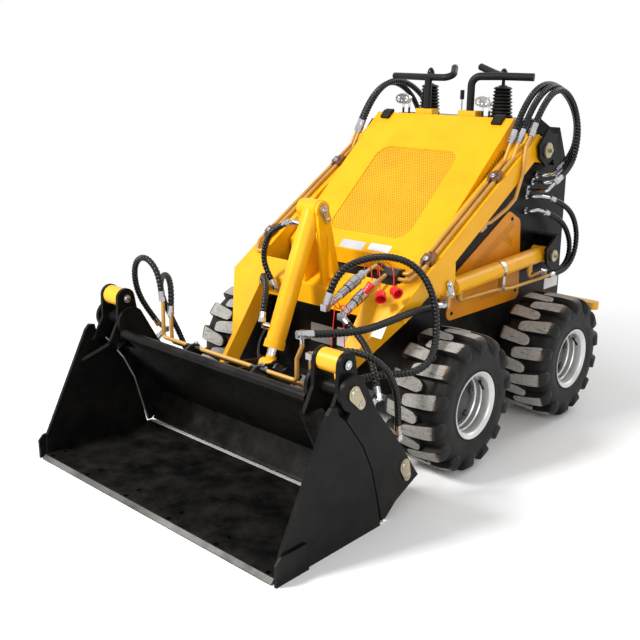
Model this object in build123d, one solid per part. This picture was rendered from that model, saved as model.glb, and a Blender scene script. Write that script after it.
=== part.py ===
from build123d import *
import math
import os

# Compact stand-on skid steer loader with a four-in-one bucket.
# Working frame: +X is the machine's left, -Y its front, +Z up, millimetres.
# Sizes are written with Y = 0 midway between the axles, then every piece is moved by FRAME_Y,
# so that the origin lies on the ground under the middle of the machine's length.

# Overall places
FRONT_Y = -1241.0
REAR_Y = 660.0
FRAME_Y = -(FRONT_Y + REAR_Y) / 2
RUN = 0.3
SIDE_GAP = 1.0

# Wheels
WHEELBASE = 652.0
TYRE_R = 228.5
TYRE_W = 216.0
TYRE_X = 446.0
LUG_DEPTH = 22.0
LUG_COUNT = 12
TYRE_SIDES = 24
RIM_R = 112.0
RIM_BARREL_R = 96.0
RIM_WALL = 4.0
DISC_X = 470.0
DISC_T = 8.0
AXLE_R = 28.0
MOTOR_R = 78.0

# Chassis
HOOD_X = 306.0
HOOD_T = 3.0
CHASSIS_X = HOOD_X - HOOD_T - RUN
CHASSIS_T = 10.0
BELLY_Z = 125.0
TUB_FRONT_Y = -370.0
TUB_TOP_Z = 540.0
DECK_Z = 1088.0
HOOD_TOP = (202.0, DECK_Z + 7)
HOOD_LOW = (-300.0, 652.0)
WINDOW_W = 356.0
WINDOW_H = 417.0
WINDOW_UP = 285.0
WINDOW_ROUND = 55.0
# Side slots of the hood: y, z, length
SIDE_SLOTS = ((82.0, 918.0, 190.0), (-100.0, 758.0, 150.0))
SLOT_W = 52.0

# Lift arms, as places (y, z) on the machine's side
ARM_PIVOT = (285.0, 987.0)
ARM_IN_X = 314.0
ARM_OUT_X = 384.0
ARM_TOP_KNEE = (-320.0, 690.0)
ARM_NOSE = (-511.0, 562.0)
ARM_SLOPE = 0.62
ARM_DEEP = 81.0
LEG_FRONT_LOW = (-698.0, 300.0)
LEG_DEPTH = 66.0
LEG_IN_X = 231.0
LEG_OUT_X = 250.0
ARM_PIN_R = 20.0
PIN_R = 15.0

# Lift cylinders
LIFT_X = 349.0
LIFT_BASE = (395.0, 588.0)
LIFT_FRONT = (-270.0, 560.0)
LIFT_BARREL_R = 30.0
LIFT_ROD_R = 17.5

# Tilt cylinder
TILT_TOP = (-510.0, 820.0)
TILT_LOW = (-717.0, 327.0)
TILT_BARREL_R = 32.0
TILT_ROD_R = 17.5

# Bucket
BUCKET_PIVOT = (-722.0, 195.0)
JAW_PIVOT = (-944.0, 441.0)
JAW_ROD_PIN = (-949.0, 518.0)
JAW_BASE_PIN = (-708.0, 153.0)
JAW_BARREL_R = 25.0
JAW_ROD_R = 12.0
BUCKET_X = 552.0
PLATE_T = 12.0
CUTTER_X = 560.0
FLOOR_T = 10.0
FLOOR_REAR_Y = -790.0
EDGE_T = 16.0
EDGE_REAR_Y = FRONT_Y + 83
BLADE_LOW = (-785.0, 12.0)
BLADE_FOLD = (-736.0, 106.0)
BLADE_TOP = (-975.0, 402.0)
BLADE_T = 8.0
INNER_END_X = 430.0
EAR_IN_X = 448.0
EAR_OUT_X = 534.0
JAW_CYL_X = (EAR_IN_X + EAR_OUT_X - PLATE_T) / 2
JAW_EYE_HALF = (EAR_OUT_X - PLATE_T - EAR_IN_X) / 2 - SIDE_GAP
SEAM_GAP = 5.0
EDGE_BOLT_X = (-510.0, -306.0, -102.0, 102.0, 306.0, 510.0)
EDGE_BOLT_Y = (FRONT_Y + 22, FRONT_Y + 70)
EDGE_BOLT_R = 8.0

# Hydraulic lines
PIPE_R = 6.5
BOSS_R = 11.0
# Crimped sleeve and nuts behind a hose's end: kind, from, to, radius
SLEEVE = (("round", 0, 24, 11.5), ("hex", 24, 38, 13.0), ("hex", 38, 50, 11.5))
SHORT_SLEEVE = (("round", 0, 20, 10.5), ("hex", 20, 34, 12.0))
BRACKET_X = 304.0
# Cylinder ports: how far out of the barrel's axis the hose's elbow sits
JAW_PORT_OUT = 75.0
JAW_PORTS = (12.0, 200.0)
# Hoses: diameter and route from the fitting at one end to the fitting at the other, x y z.
HOSES = {
    "tower_hose_left_inner": (18, (
        (343, 152, 1059), (343, 205, 1150), (343, 330, 1222), (343, 480, 1195),
        (343, 600, 1105), (343, 618, 1010), (343, 585, 945), (343, 525, 915),
    )),
    "tower_hose_left_middle": (18, (
        (366, 168, 1062), (366, 222, 1150), (366, 345, 1216), (366, 470, 1180),
        (366, 560, 1090), (366, 575, 995), (366, 540, 925), (366, 478, 893),
    )),
    "tower_hose_left_outer": (18, (
        (390, 205, 1082), (390, 262, 1162), (390, 370, 1205), (390, 478, 1150),
        (390, 535, 1055), (390, 530, 965), (390, 485, 905), (390, 425, 880),
    )),
    "tower_hose_right_inner": (18, (
        (-343, 152, 1059), (-343, 205, 1150), (-343, 330, 1222), (-343, 480, 1195),
        (-343, 600, 1105), (-343, 618, 1010), (-343, 585, 945), (-343, 525, 915),
    )),
    "tower_hose_right_middle": (18, (
        (-366, 168, 1062), (-366, 222, 1150), (-366, 345, 1216), (-366, 470, 1180),
        (-366, 560, 1090), (-366, 575, 995), (-366, 540, 925), (-366, 478, 893),
    )),
    "lift_hose_left_upper": (16, (
        (364, 440, 790), (370, 505, 768), (377, 575, 722), (382, 612, 655), (382, 618, 592),
        (380, 600, 542), (377, 562, 511), (374, 514, 500), (372, 466, 500),
    )),
    "lift_hose_left_lower": (16, (
        (347, 432, 738), (349, 500, 715), (350, 566, 678), (351, 612, 626), (351, 629, 578),
        (350, 622, 536), (349, 592, 508), (347, 548, 499), (344, 500, 502), (342, 455, 507),
    )),
    "tilt_hose_upper": (16, (
        (-74, -571, 765), (-122, -568, 745), (-163, -562, 705), (-186, -556, 652),
        (-184, -550, 600), (-158, -545, 560),
    )),
    "tilt_hose_lower": (16, (
        (-196, -552, 560), (-168, -576, 583), (-120, -612, 582), (-76, -650, 564),
        (-48, -684, 538), (-38, -702, 500),
    )),
    "coupler_hose_over": (18, (
        (217, -664, 604), (224, -650, 650), (250, -611, 691), (296, -543, 712), (350, -480, 702),
        (394, -445, 664), (422, -428, 612), (436, -414, 545), (454, -430, 470), (486, -490, 415),
        (480, -555, 387), (452, -608, 384), (425, -668, 392), (405, -738, 392), (396, -806, 382),
        (394, -862, 372),
    )),
    "bucket_supply_hose": (18, (
        (343, -878, 546), (372, -799, 536), (396, -700, 531), (404, -585, 540), (405, -470, 547),
        (401, -362, 537),
    )),
    "jaw_hose_left_upper": (16, (
        (284, -655, 516), (332, -662, 490), (382, -684, 468), (430, -718, 447), (466, -748, 422),
        (482, -758, 392),
    )),
    "jaw_hose_left_lower": (16, (
        (376, -873, 494), (408, -848, 503), (442, -823, 505), (478, -799, 495), (504, -768, 468),
        (508, -728, 425), (501, -690, 365), (490, -663, 300), (485, -655, 246),
    )),
    "jaw_hose_right_upper": (16, (
        (-306, -903, 560), (-311, -905, 602), (-332, -908, 640), (-368, -909, 660),
        (-407, -908, 655), (-438, -905, 628), (-458, -896, 584), (-472, -878, 530),
        (-482, -845, 470), (-485, -802, 412),
    )),
    "jaw_hose_right_lower": (16, (
        (-290, -878, 508), (-293, -872, 552), (-318, -858, 588), (-362, -840, 596),
        (-412, -820, 572), (-452, -796, 522), (-476, -762, 460), (-486, -722, 390),
        (-488, -684, 318), (-485, -660, 250),
    )),
}


def plate(points, x0, x1, round_by=0.0):
    """Flat plate across X from an outline of (y, z) points."""
    face = Polygon(*points, align=None)
    if round_by:
        face = fillet(face.vertices(), round_by)
    return extrude(Plane.YZ.offset(x0) * face, x1 - x0, dir=(1, 0, 0))


def disc(place, radius, x0, x1):
    """Round bar along X at a place (y, z)."""
    return extrude(Plane.YZ.offset(x0) * Pos(place[0], place[1]) * Circle(radius), x1 - x0)


def link(circles, x0, x1):
    """Plate along X whose outline wraps circles of (y, z, radius)."""
    edges = []
    for y, z, radius in circles:
        edges += (Pos(y, z) * Circle(radius)).edges()
    return extrude(Plane.YZ.offset(x0) * make_hull(edges), x1 - x0, dir=(1, 0, 0))


def block(x0, x1, y0, y1, z0, z1):
    """Box between two corners."""
    return Pos((x0 + x1) / 2, (y0 + y1) / 2, (z0 + z1) / 2) * Box(x1 - x0, y1 - y0, z1 - z0)


def mirrored(shape):
    return mirror(shape, about=Plane.YZ)


def pair(shape):
    """A left piece and its mirror image on the right."""
    return [shape, mirrored(shape)]


def direction(start, end):
    """Unit vector, length and angle of a line between two places (y, z)."""
    dy = end[0] - start[0]
    dz = end[1] - start[1]
    length = math.hypot(dy, dz)
    return (dy / length, dz / length), length


def along(start, end, distance, aside=0.0):
    """Place at a distance along a line, and aside of it."""
    (uy, uz), _ = direction(start, end)
    return (start[0] + uy * distance - uz * aside, start[1] + uz * distance + uy * aside)


def bar(start, end, from_d, to_d, radius, x):
    """Round bar that lies on the line between two places (y, z), at one x."""
    (uy, uz), _ = direction(start, end)
    a = along(start, end, from_d)
    plane = Plane(origin=(x, a[0], a[1]), z_dir=(0, uy, uz))
    return extrude(plane * Circle(radius), to_d - from_d)


def tube(points, radius, bend):
    """Bent round bar through a list of (x, y, z) points."""
    path = FilletPolyline(*points, radius=bend)
    section = Plane(origin=path @ 0, z_dir=path % 0) * Circle(radius)
    return sweep(section, path=path)


def save(name, *shapes):
    """Writes one node, moved to the part's frame."""
    solids = []
    for shape in shapes:
        items = shape if isinstance(shape, (list, tuple)) else [shape]
        for item in items:
            solids += item.solids()
    moved = [Pos(0, FRAME_Y, 0) * solid for solid in solids]
    whole = moved[0] if len(moved) == 1 else Compound(children=moved)
    export_step(whole, f"parts/{name}.step")
    print(name, len(moved), round(sum(s.volume for s in moved) / 1e6, 3))


def spot(point, other, distance):
    """Place at a distance from a point, on the line away from another one."""
    away = (Vector(*point) - Vector(*other)).normalized()
    return Vector(*point) + away * distance, away


def stack(point, other, rows):
    """Round and hexagonal collars behind a point, on the line away from another one."""
    pieces = []
    for kind, start, end, radius in rows:
        at, away = spot(point, other, start)
        shape = Circle(radius) if kind == "round" else RegularPolygon(radius, 6)
        pieces.append(extrude(Plane(origin=at, z_dir=away) * shape, end - start))
    return pieces


def knee(point, size):
    """Forged elbow block."""
    return Pos(*point) * Box(size, size, size)


def spigot(start, end, radius):
    """Round bar between two (x, y, z) points."""
    start, end = Vector(*start), Vector(*end)
    return extrude(Plane(origin=start, z_dir=end - start) * Circle(radius), (end - start).length)


def hose_end(name, index):
    """Sleeve and nuts at one end of a hose, 0 for its first point and -1 for its last."""
    diameter, points = HOSES[name]
    point = points[index]
    other = points[1] if index == 0 else points[-2]
    return stack(point, other, SLEEVE if diameter > 17 else SHORT_SLEEVE)


def hose(name):
    """Rubber hose: straight runs joined by arcs as large as the runs allow."""
    diameter, points = HOSES[name]
    places = [Vector(*p) for p in points]
    radii = []
    for a, b, c in zip(places, places[1:], places[2:]):
        turn = math.radians((b - a).get_angle(c - b))
        shorter = min((b - a).length, (c - b).length)
        radii.append(0.45 * shorter / math.tan(turn / 2))
    path = FilletPolyline(*points, radius=radii)
    print(name, "length", round(path.length, 1), "radii", [round(r) for r in radii])
    section = Plane(origin=path @ 0, z_dir=path % 0) * Circle(diameter / 2)
    return sweep(section, path=path)


# Wheels


def tyre_left():
    """Tyre about X, with slanted lugs from each shoulder that alternate round it."""
    half = TYRE_W / 2
    tread = TYRE_R - LUG_DEPTH
    wall = half - 12
    outline = Plane.YZ.offset(-wall) * Rot(0, 0, 180.0 / TYRE_SIDES) * RegularPolygon(tread, TYRE_SIDES)
    carcass = extrude(outline, wall * 2, dir=(1, 0, 0))
    bore = Plane.YZ.offset(-half) * Circle(RIM_BARREL_R + RUN)
    carcass = carcass - extrude(bore, TYRE_W, dir=(1, 0, 0))
    # One lug's footprint seen from outside: x across the tyre, y round it.
    foot = Polygon((-12, -16), (half, 14), (half, 58), (-12, 20), align=None)
    lug = extrude(Plane.XY.offset(190) * foot, TYRE_R - 180, dir=(0, 0, 1))
    crown = Polygon((-half, 160), (half, 160), (half, TYRE_R - 16), (half - 20, TYRE_R), (-half, TYRE_R), align=None)
    lug = lug & extrude(Plane.XZ.offset(-100) * crown, 200, dir=(0, -1, 0))
    lug = lug & extrude(Plane.YZ.offset(-half) * RegularPolygon(TYRE_R, TYRE_SIDES), TYRE_W, dir=(1, 0, 0))
    lugs = []
    for step in range(LUG_COUNT):
        turn = 360.0 / LUG_COUNT * step
        lugs.append(Rot(turn, 0, 0) * lug)
        lugs.append(Rot(turn + 180.0 / LUG_COUNT, 0, 0) * mirror(lug, about=Plane.YZ))
    return carcass.fuse(*lugs)


def rim_left():
    """Deep steel rim with its disc, hub boss and nuts."""
    half = TYRE_W / 2
    wall = RIM_WALL
    out = half - 14 + 8
    profile = Polygon(
        (-out, RIM_R - wall),
        (-out, RIM_R),
        (-out + wall, RIM_R),
        (-out + wall, RIM_BARREL_R),
        (out - wall, RIM_BARREL_R),
        (out - wall, RIM_R),
        (out, RIM_R),
        (out, RIM_R - wall),
        (out - wall * 2, RIM_BARREL_R - wall),
        (-out + wall * 2, RIM_BARREL_R - wall),
        align=None,
    )
    rim = revolve(Plane.XY * profile, Axis.X)
    face = DISC_X - TYRE_X
    web = disc((0, 0), RIM_BARREL_R - wall / 2, face, face + DISC_T)
    boss = disc((0, 0), 48, CHASSIS_X + 110 - TYRE_X, face + 18)
    rim = rim + web + boss - disc((0, 0), AXLE_R + RUN, -half, face + 12)
    nuts = []
    for step in range(5):
        turn = math.radians(72 * step + 18)
        place = (66 * math.cos(turn), 66 * math.sin(turn))
        nuts.append(extrude(Plane.YZ.offset(face + DISC_T) * Pos(*place) * RegularPolygon(11, 6), 12))
    return rim.fuse(*nuts)


# Chassis


def chassis_frame():
    """Side plates, belly, front and back plates of the welded body, open at the top."""
    outline = [
        (TUB_FRONT_Y, 190),
        (TUB_FRONT_Y + 80, BELLY_Z),
        (540, BELLY_Z),
        (640, 230),
        (652, 392),
        (640, DECK_Z - 191),
        (557, DECK_Z - 38),
        (477, DECK_Z - 32),
        (402, DECK_Z),
        (214, DECK_Z),
        (214, 866),
        (-284, 610),
        (-284, 590),
        (TUB_FRONT_Y, TUB_TOP_Z),
    ]
    side = plate(outline, CHASSIS_X - CHASSIS_T, CHASSIS_X)
    inner = CHASSIS_X - CHASSIS_T
    belly = block(-inner, inner, TUB_FRONT_Y + 80, 540, BELLY_Z, BELLY_Z + 8)
    slope = plate([(TUB_FRONT_Y, 190), (TUB_FRONT_Y + 80, BELLY_Z), (TUB_FRONT_Y + 80, BELLY_Z + 8), (TUB_FRONT_Y + 8, 190)], -inner, inner)
    front = block(-inner, inner, TUB_FRONT_Y, TUB_FRONT_Y + 8, 190, TUB_TOP_Z)
    brow = plate([(TUB_FRONT_Y, TUB_TOP_Z), (TUB_FRONT_Y + 8, TUB_TOP_Z - 4), (-292, 588), (-296, 594)], -inner, inner)
    back = plate([(640, 230), (632, 230), (644, 392), (632, DECK_Z - 195), (640, DECK_Z - 191), (652, 392)], -inner, inner)
    low_back = plate([(540, BELLY_Z), (640, 230), (632, 234), (537, BELLY_Z + 8)], -inner, inner)
    return side.fuse(mirrored(side), belly, slope, front, brow, back, low_back)


def tower_left():
    """Brackets outside the side plate that hold the arm's and the lift cylinder's pins."""
    y, z = ARM_PIVOT
    outer = ARM_OUT_X + 8
    out_face = outer + 10
    ear = plate(
        [(282, 1062), (314, 1044), (338, 1000), (330, 954), (282, 930), (236, 962), (226, 1006)],
        outer,
        out_face,
    )
    web = plate([(344, 930), (354, 930), (354, 1040), (344, 1040)], CHASSIS_X, out_face)
    cheek = plate([(314, 1044), (344, 1040), (344, 930), (330, 954), (330, 1000)], outer, out_face)
    boss = disc(ARM_PIVOT, 34, CHASSIS_X, ARM_IN_X - SIDE_GAP)
    pin = disc(ARM_PIVOT, ARM_PIN_R, ARM_IN_X - SIDE_GAP, out_face)
    head = disc(ARM_PIVOT, 27, out_face, out_face + 7)
    nipple = disc(ARM_PIVOT, 7, out_face + 7, out_face + 20)
    low_ear = plate(
        [(340, 618), (402, 655), (432, 655), (442, 552), (398, 530), (352, 560)],
        outer,
        out_face,
    )
    low_web = plate([(432, 655), (442, 655), (452, 552), (442, 552)], CHASSIS_X, out_face)
    low_top = plate([(402, 655), (442, 655), (442, 663), (402, 663)], CHASSIS_X, out_face)
    low_boss = disc(LIFT_BASE, 26, CHASSIS_X, LIFT_X - 31)
    low_pin = disc(LIFT_BASE, PIN_R, LIFT_X - 31, out_face)
    low_head = disc(LIFT_BASE, 22, out_face, out_face + 7)
    low_nipple = disc(LIFT_BASE, 6, out_face + 7, out_face + 18)
    upper = ear.fuse(web, cheek, boss, pin, head, nipple)
    lower = low_ear.fuse(low_web, low_top, low_boss, low_pin, low_head, low_nipple)
    return [upper, lower]


def panel_fittings():
    """Steel elbows and bulkhead nuts that carry the hoses into the body's side plates."""
    # Columns: hose, end of the hose, turns of the pipe behind its fittings.
    table = (
        ("tower_hose_left_inner", -1, ((343, 462, 884), (343, 385, 884))),
        ("tower_hose_left_middle", -1, ((366, 418, 862), (366, 358, 862))),
        ("tower_hose_left_outer", -1, ((390, 354, 850), (390, 326, 836))),
        ("lift_hose_left_upper", 0, ((356, 352, 812), (340, 322, 812))),
        ("lift_hose_left_lower", 0, ((344, 352, 760), (336, 322, 757))),
    )
    lines = []
    for name, index, turns in table:
        diameter, points = HOSES[name]
        other = points[1] if index == 0 else points[-2]
        at, _ = spot(points[index], other, 46 if diameter > 17 else 32)
        last = turns[-1]
        route = [tuple(at), *turns, (CHASSIS_X, last[1], last[2])]
        nut = extrude(Plane.YZ.offset(CHASSIS_X) * Pos(last[1], last[2]) * RegularPolygon(14, 6), 12)
        lines.append(tube(route, PIPE_R, 9).fuse(nut, *hose_end(name, index)))
    right = [mirrored(lines[0]), mirrored(lines[1])]
    return lines + right


def hood():
    """Sloping sheet hood: front panel and two sides, with the mesh opening and side slots."""
    (ty, tz), (ly, lz) = HOOD_TOP, HOOD_LOW
    (uy, uz), length = direction(HOOD_LOW, HOOD_TOP)
    outline = [HOOD_LOW, HOOD_TOP, (ty + 8, tz), (ty + 8, 858), (ly + 6, 598)]
    solid = plate(outline, -HOOD_X, HOOD_X)
    inside = plate(
        [
            (ly + 6 + HOOD_T, lz - 60),
            along(HOOD_LOW, HOOD_TOP, 1, -HOOD_T),
            along(HOOD_LOW, HOOD_TOP, length, -HOOD_T),
            (ty + 20, tz - HOOD_T),
            (ty + 20, lz - 60),
        ],
        -HOOD_X + HOOD_T,
        HOOD_X - HOOD_T,
    )
    front = Plane(origin=(0, ly, lz), x_dir=(1, 0, 0), z_dir=(0, -uz, uy))
    window = front * Pos(0, WINDOW_UP) * RectangleRounded(WINDOW_W, WINDOW_H, WINDOW_ROUND)
    window = extrude(window, 30, both=True)
    slots = []
    for y, z, span in SIDE_SLOTS:
        turn = math.degrees(math.atan2(uz, uy))
        slot = Plane.YZ.offset(HOOD_X - 20) * Pos(y, z) * Rot(0, 0, turn) * SlotOverall(span, SLOT_W)
        cut = extrude(slot, 40)
        slots += [cut, mirrored(cut)]
    shell = solid - inside - window
    for cut in slots:
        shell = shell - cut
    return shell


def hood_grilles():
    """Flat perforated sheets behind the hood's openings."""
    (ly, lz) = HOOD_LOW
    (uy, uz), length = direction(HOOD_LOW, HOOD_TOP)
    front = Plane(origin=(0, ly, lz), x_dir=(1, 0, 0), z_dir=(0, -uz, uy))
    opening = RectangleRounded(WINDOW_W + 20, WINDOW_H + 20, WINDOW_ROUND + 7)
    main_sheet = extrude(front * Pos(0, WINDOW_UP, -HOOD_T) * opening, 2, dir=(0, uz, -uy))
    sheets = [main_sheet]
    turn = math.degrees(math.atan2(uz, uy))
    for y, z, span in SIDE_SLOTS:
        flat = SlotOverall(span + 16, SLOT_W + 16)
        sheet = Plane.YZ.offset(HOOD_X - HOOD_T - 2) * Pos(y, z) * Rot(0, 0, turn) * flat
        sheets += pair(extrude(sheet, 2))
    return sheets


def side_covers():
    """Yellow covers low on the chassis sides, with rounded corners."""
    outline = [(217, 767), (300, 725), (328, 419), (-172, 424), (-114, 589)]
    cover = plate(outline, CHASSIS_X, CHASSIS_X + 4, 28)
    return pair(cover)


def console():
    """Top deck behind the hood with the raised bases of the handlebars."""
    inner = CHASSIS_X - CHASSIS_T - RUN
    deck = block(-inner, inner, 212, 402, DECK_Z - 8, DECK_Z)
    outline = [
        (402, DECK_Z - 8),
        (402, DECK_Z),
        (477, DECK_Z - 32),
        (557, DECK_Z - 38),
        (632, DECK_Z - 191),
        (624, DECK_Z - 195),
        (552, DECK_Z - 46),
        (474, DECK_Z - 40),
    ]
    step = plate(outline, -inner, inner)
    bases = []
    for x in (97, -97):
        bases.append(block(x - 38, x + 38, 216, 262, DECK_Z, DECK_Z + 26))
    return deck.fuse(step, *bases)


def engine_block():
    return block(-190, 190, -230, 180, BELLY_Z + 8, 560)


def handlebars():
    """Two fixed handlebars on posts, with the throttle lever between them."""
    foot = DECK_Z + 26
    top = DECK_Z + 142
    right_post = disc_z(-97, 240, foot, top - 2, 14)
    right_bar = tube([(-313, 311, top + 2), (-97, 250, top), (12, 246, top), (-40, 330, top + 36)], 13, 26)
    left_bar = tube([(97, 240, foot), (97, 240, top + 6), (200, 272, top + 8), (313, 311, top + 6)], 14, 34)
    left_branch = tube([(205, 274, top + 8), (150, 300, top + 20), (78, 328, top + 40)], 13, 40)
    stalk = disc_z(20, 300, DECK_Z, DECK_Z + 62, 3)
    knob = disc_z(20, 300, DECK_Z + 62, DECK_Z + 97, 8)
    return [right_post.fuse(right_bar), left_bar.fuse(left_branch), stalk.fuse(knob)]


def disc_z(x, y, z0, z1, radius):
    return extrude(Plane.XY.offset(z0) * Pos(x, y) * Circle(radius), z1 - z0)


def joysticks():
    """Ribbed rubber bellows with a short lever and a knob on top."""
    ribs = 9
    height = 112.0
    points = [(0, 0), (34, 0)]
    for step in range(ribs):
        z = height * step / ribs
        outer = 34 - 5 * step / ribs
        points += [(outer, z + height / ribs * 0.5), (outer - 7, z + height / ribs)]
    points += [(0, height)]
    bellow = revolve(Plane.XZ * Polygon(*points, align=None), Axis.Z)
    stick = disc_z(0, 0, height, height + 30, 6)
    acorn = Polygon((0, 0), (10, 0), (15, 12), (13, 26), (6, 36), (0, 38), align=None)
    knob = Pos(0, 0, height + 28) * revolve(Plane.XZ * acorn, Axis.Z)
    whole = bellow.fuse(stick, knob)
    return [Pos(165, 350, DECK_Z) * whole, Pos(-165, 350, DECK_Z) * whole]


def lamps():
    """Oval work lamps with a flat face and a tapered back, on twin stems."""
    result = []
    height = DECK_Z + 61
    for x in (180, -180):
        stems = [disc_z(x + dx, 217, DECK_Z, height - 12, 4) for dx in (-14, 14)]
        rim = extrude(Plane.XZ.offset(-200) * Pos(x, height) * Ellipse(36, 21), 8)
        wide = Plane.XZ.offset(-200) * Pos(x, height) * Ellipse(33, 19)
        narrow = Plane.XZ.offset(-228) * Pos(x, height) * Ellipse(20, 12)
        result.append(loft([wide, narrow]).fuse(rim, *stems))
    return result


def latches():
    """Rubber latches that lap over the hood's top edge at its corners."""
    _, length = direction(HOOD_LOW, HOOD_TOP)
    y, z = HOOD_TOP
    outline = [
        along(HOOD_LOW, HOOD_TOP, length - 36, 0.2),
        along(HOOD_LOW, HOOD_TOP, length - 36, 11),
        along(HOOD_LOW, HOOD_TOP, length - 4, 13),
        (y + 7, z + 13),
        (y + 7, z + 0.2),
        along(HOOD_LOW, HOOD_TOP, length, 0.2),
    ]
    strap = plate(outline, 232, 270)
    return pair(strap)


def rear_guard():
    """Rear step bar with rounded corners behind the wheels."""
    bar_face = Pos(0, 0) * RectangleRounded(980, 46, 20)
    bar_solid = extrude(Plane.XY.offset(346) * Pos(0, 637) * bar_face, 28)
    return bar_solid - block(-CHASSIS_X - RUN, CHASSIS_X + RUN, 500, 652 + RUN, 300, 500)


def axle_hubs():
    """Drive motor housings and shafts that carry the wheels."""
    hubs = []
    for y in (-WHEELBASE / 2, WHEELBASE / 2):
        place = (y, TYRE_R)
        housing = disc(place, MOTOR_R, CHASSIS_X, CHASSIS_X + 22)
        neck = disc(place, 52, CHASSIS_X + 22, CHASSIS_X + 100)
        shaft = disc(place, AXLE_R, CHASSIS_X + 100, DISC_X + 10)
        hubs += pair(housing.fuse(neck, shaft))
    return hubs


# Lift arms


def arm_top(y):
    """Height of the arm's top face at a y."""
    if y >= ARM_TOP_KNEE[0]:
        return ARM_TOP_KNEE[1] + (y - ARM_TOP_KNEE[0]) * ARM_SLOPE
    fall = (ARM_TOP_KNEE[1] - ARM_NOSE[1]) / (ARM_TOP_KNEE[0] - ARM_NOSE[0])
    return ARM_TOP_KNEE[1] + (y - ARM_TOP_KNEE[0]) * fall


def leg_lines():
    """Front and back lines of the front leg, as places (y, z)."""
    (uy, uz), length = direction(ARM_NOSE, LEG_FRONT_LOW)
    back = (-uz * LEG_DEPTH, uy * LEG_DEPTH)
    return (uy, uz), length, back


def arm_left():
    """Box beam from the tower pivot to the knee, and the leg that tapers down to the bucket pivot."""

    def under(y):
        return arm_top(y) - ARM_DEEP

    beam = plate(
        [(250, arm_top(250)), ARM_TOP_KNEE, ARM_NOSE, (-500, 505), (-435, 540), (-345, 590), (-285, under(-285)), (232, under(232) - 2), (262, 950), (300, 1000)],
        ARM_IN_X,
        ARM_OUT_X,
    )
    boss = disc(ARM_PIVOT, 46, ARM_IN_X, ARM_OUT_X)
    lug = plate([(-230, 655), (-228, 600), (-243, 560), (-262, 534), (-282, 534), (-340, 560), (-350, 600)], LIFT_X - 30, LIFT_X - 19)
    lug_out = plate([(-230, 655), (-228, 600), (-243, 560), (-262, 534), (-282, 534), (-340, 560), (-350, 600)], LIFT_X + 19, LIFT_X + 30)
    head = disc(LIFT_FRONT, 17, LIFT_X + 30, LIFT_X + 38)
    (uy, uz), length, back = leg_lines()
    y0, z0 = ARM_NOSE
    # The leg seen square to its front plate: across X, and down the leg from the nose.
    front = Plane(origin=(0, y0, z0), x_dir=(1, 0, 0), z_dir=(0, -uz, uy))
    taper = 235.0
    outline = Polygon(
        (LEG_IN_X, 0),
        (ARM_OUT_X, 0),
        (LEG_OUT_X, taper),
        (LEG_OUT_X, length),
        (LEG_IN_X, length),
        align=None,
    )
    leg = extrude(front * outline, LEG_DEPTH, dir=(0, -uz, uy))
    ty, tz = y0 + uy * length, z0 + uz * length
    py, pz = BUCKET_PIVOT
    foot = plate([(ty, tz), (py - 40, pz + 6), (py, pz - 2), (py + 40, pz + 6), (ty - uz * LEG_DEPTH, tz + uy * LEG_DEPTH)], LEG_IN_X, LEG_OUT_X)
    foot = foot + disc(BUCKET_PIVOT, 40, LEG_IN_X, LEG_OUT_X)
    arm = beam.fuse(boss, lug, lug_out, head, leg, foot)
    arm = arm - disc(ARM_PIVOT, ARM_PIN_R + RUN, ARM_IN_X - 1, ARM_OUT_X + 1)
    arm = arm - disc(BUCKET_PIVOT, PIN_R + RUN, LEG_IN_X - 1, LEG_OUT_X + 1)
    return arm


def cross_member():
    """Bent beam between the arms with the two plates that hold the tilt cylinder's top pin."""
    beam = plate([(-511, 497), (-511, 562), (-441, 609), (-415, 590), (-430, 510)], -LEG_IN_X, LEG_IN_X)
    wing = plate([(-511, 562), (-441, 609), (-415, 590), (-430, 540)], LEG_IN_X, ARM_IN_X)
    lug = make_lug(34, 46)
    pin = disc(TILT_TOP, PIN_R, -34, 34)
    head = link([(TILT_TOP[0], TILT_TOP[1], 20), (TILT_TOP[0] + 16, TILT_TOP[1] - 34, 12)], 46, 54)
    # Rib that stands out from the plate and grows wider downward.
    rib = Plane.XZ.offset(484) * Polygon((46, 594), (76, 594), (46, 752), align=None)
    rib = extrude(rib, 8, dir=(0, -1, 0))
    return beam.fuse(wing, mirrored(wing), lug, mirrored(lug), pin, head, mirrored(head), rib, mirrored(rib))


def make_lug(x0, x1):
    y, z = TILT_TOP
    foot = plate([(-505, 560), (y - 26, z), (y + 26, z + 4), (-425, 600)], x0, x1)
    return foot + disc(TILT_TOP, 30, x0, x1)


def pipe_end(route):
    """Points of a steel pipe that starts behind a hose's fittings and reaches the arm's top."""
    (x, y0, z0), (_, y1, z1) = HOSES[route][1][0], HOSES[route][1][1]
    (uy, uz), _ = direction((y1, z1), (y0, z0))
    y, z = y0 + uy * 50, z0 + uz * 50
    reach = (z - arm_top(y) - 11) / (ARM_SLOPE * uy - uz)
    reach = abs(reach)
    return [(x, y, z), (x, y + uy * reach, z + uz * reach)]


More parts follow.
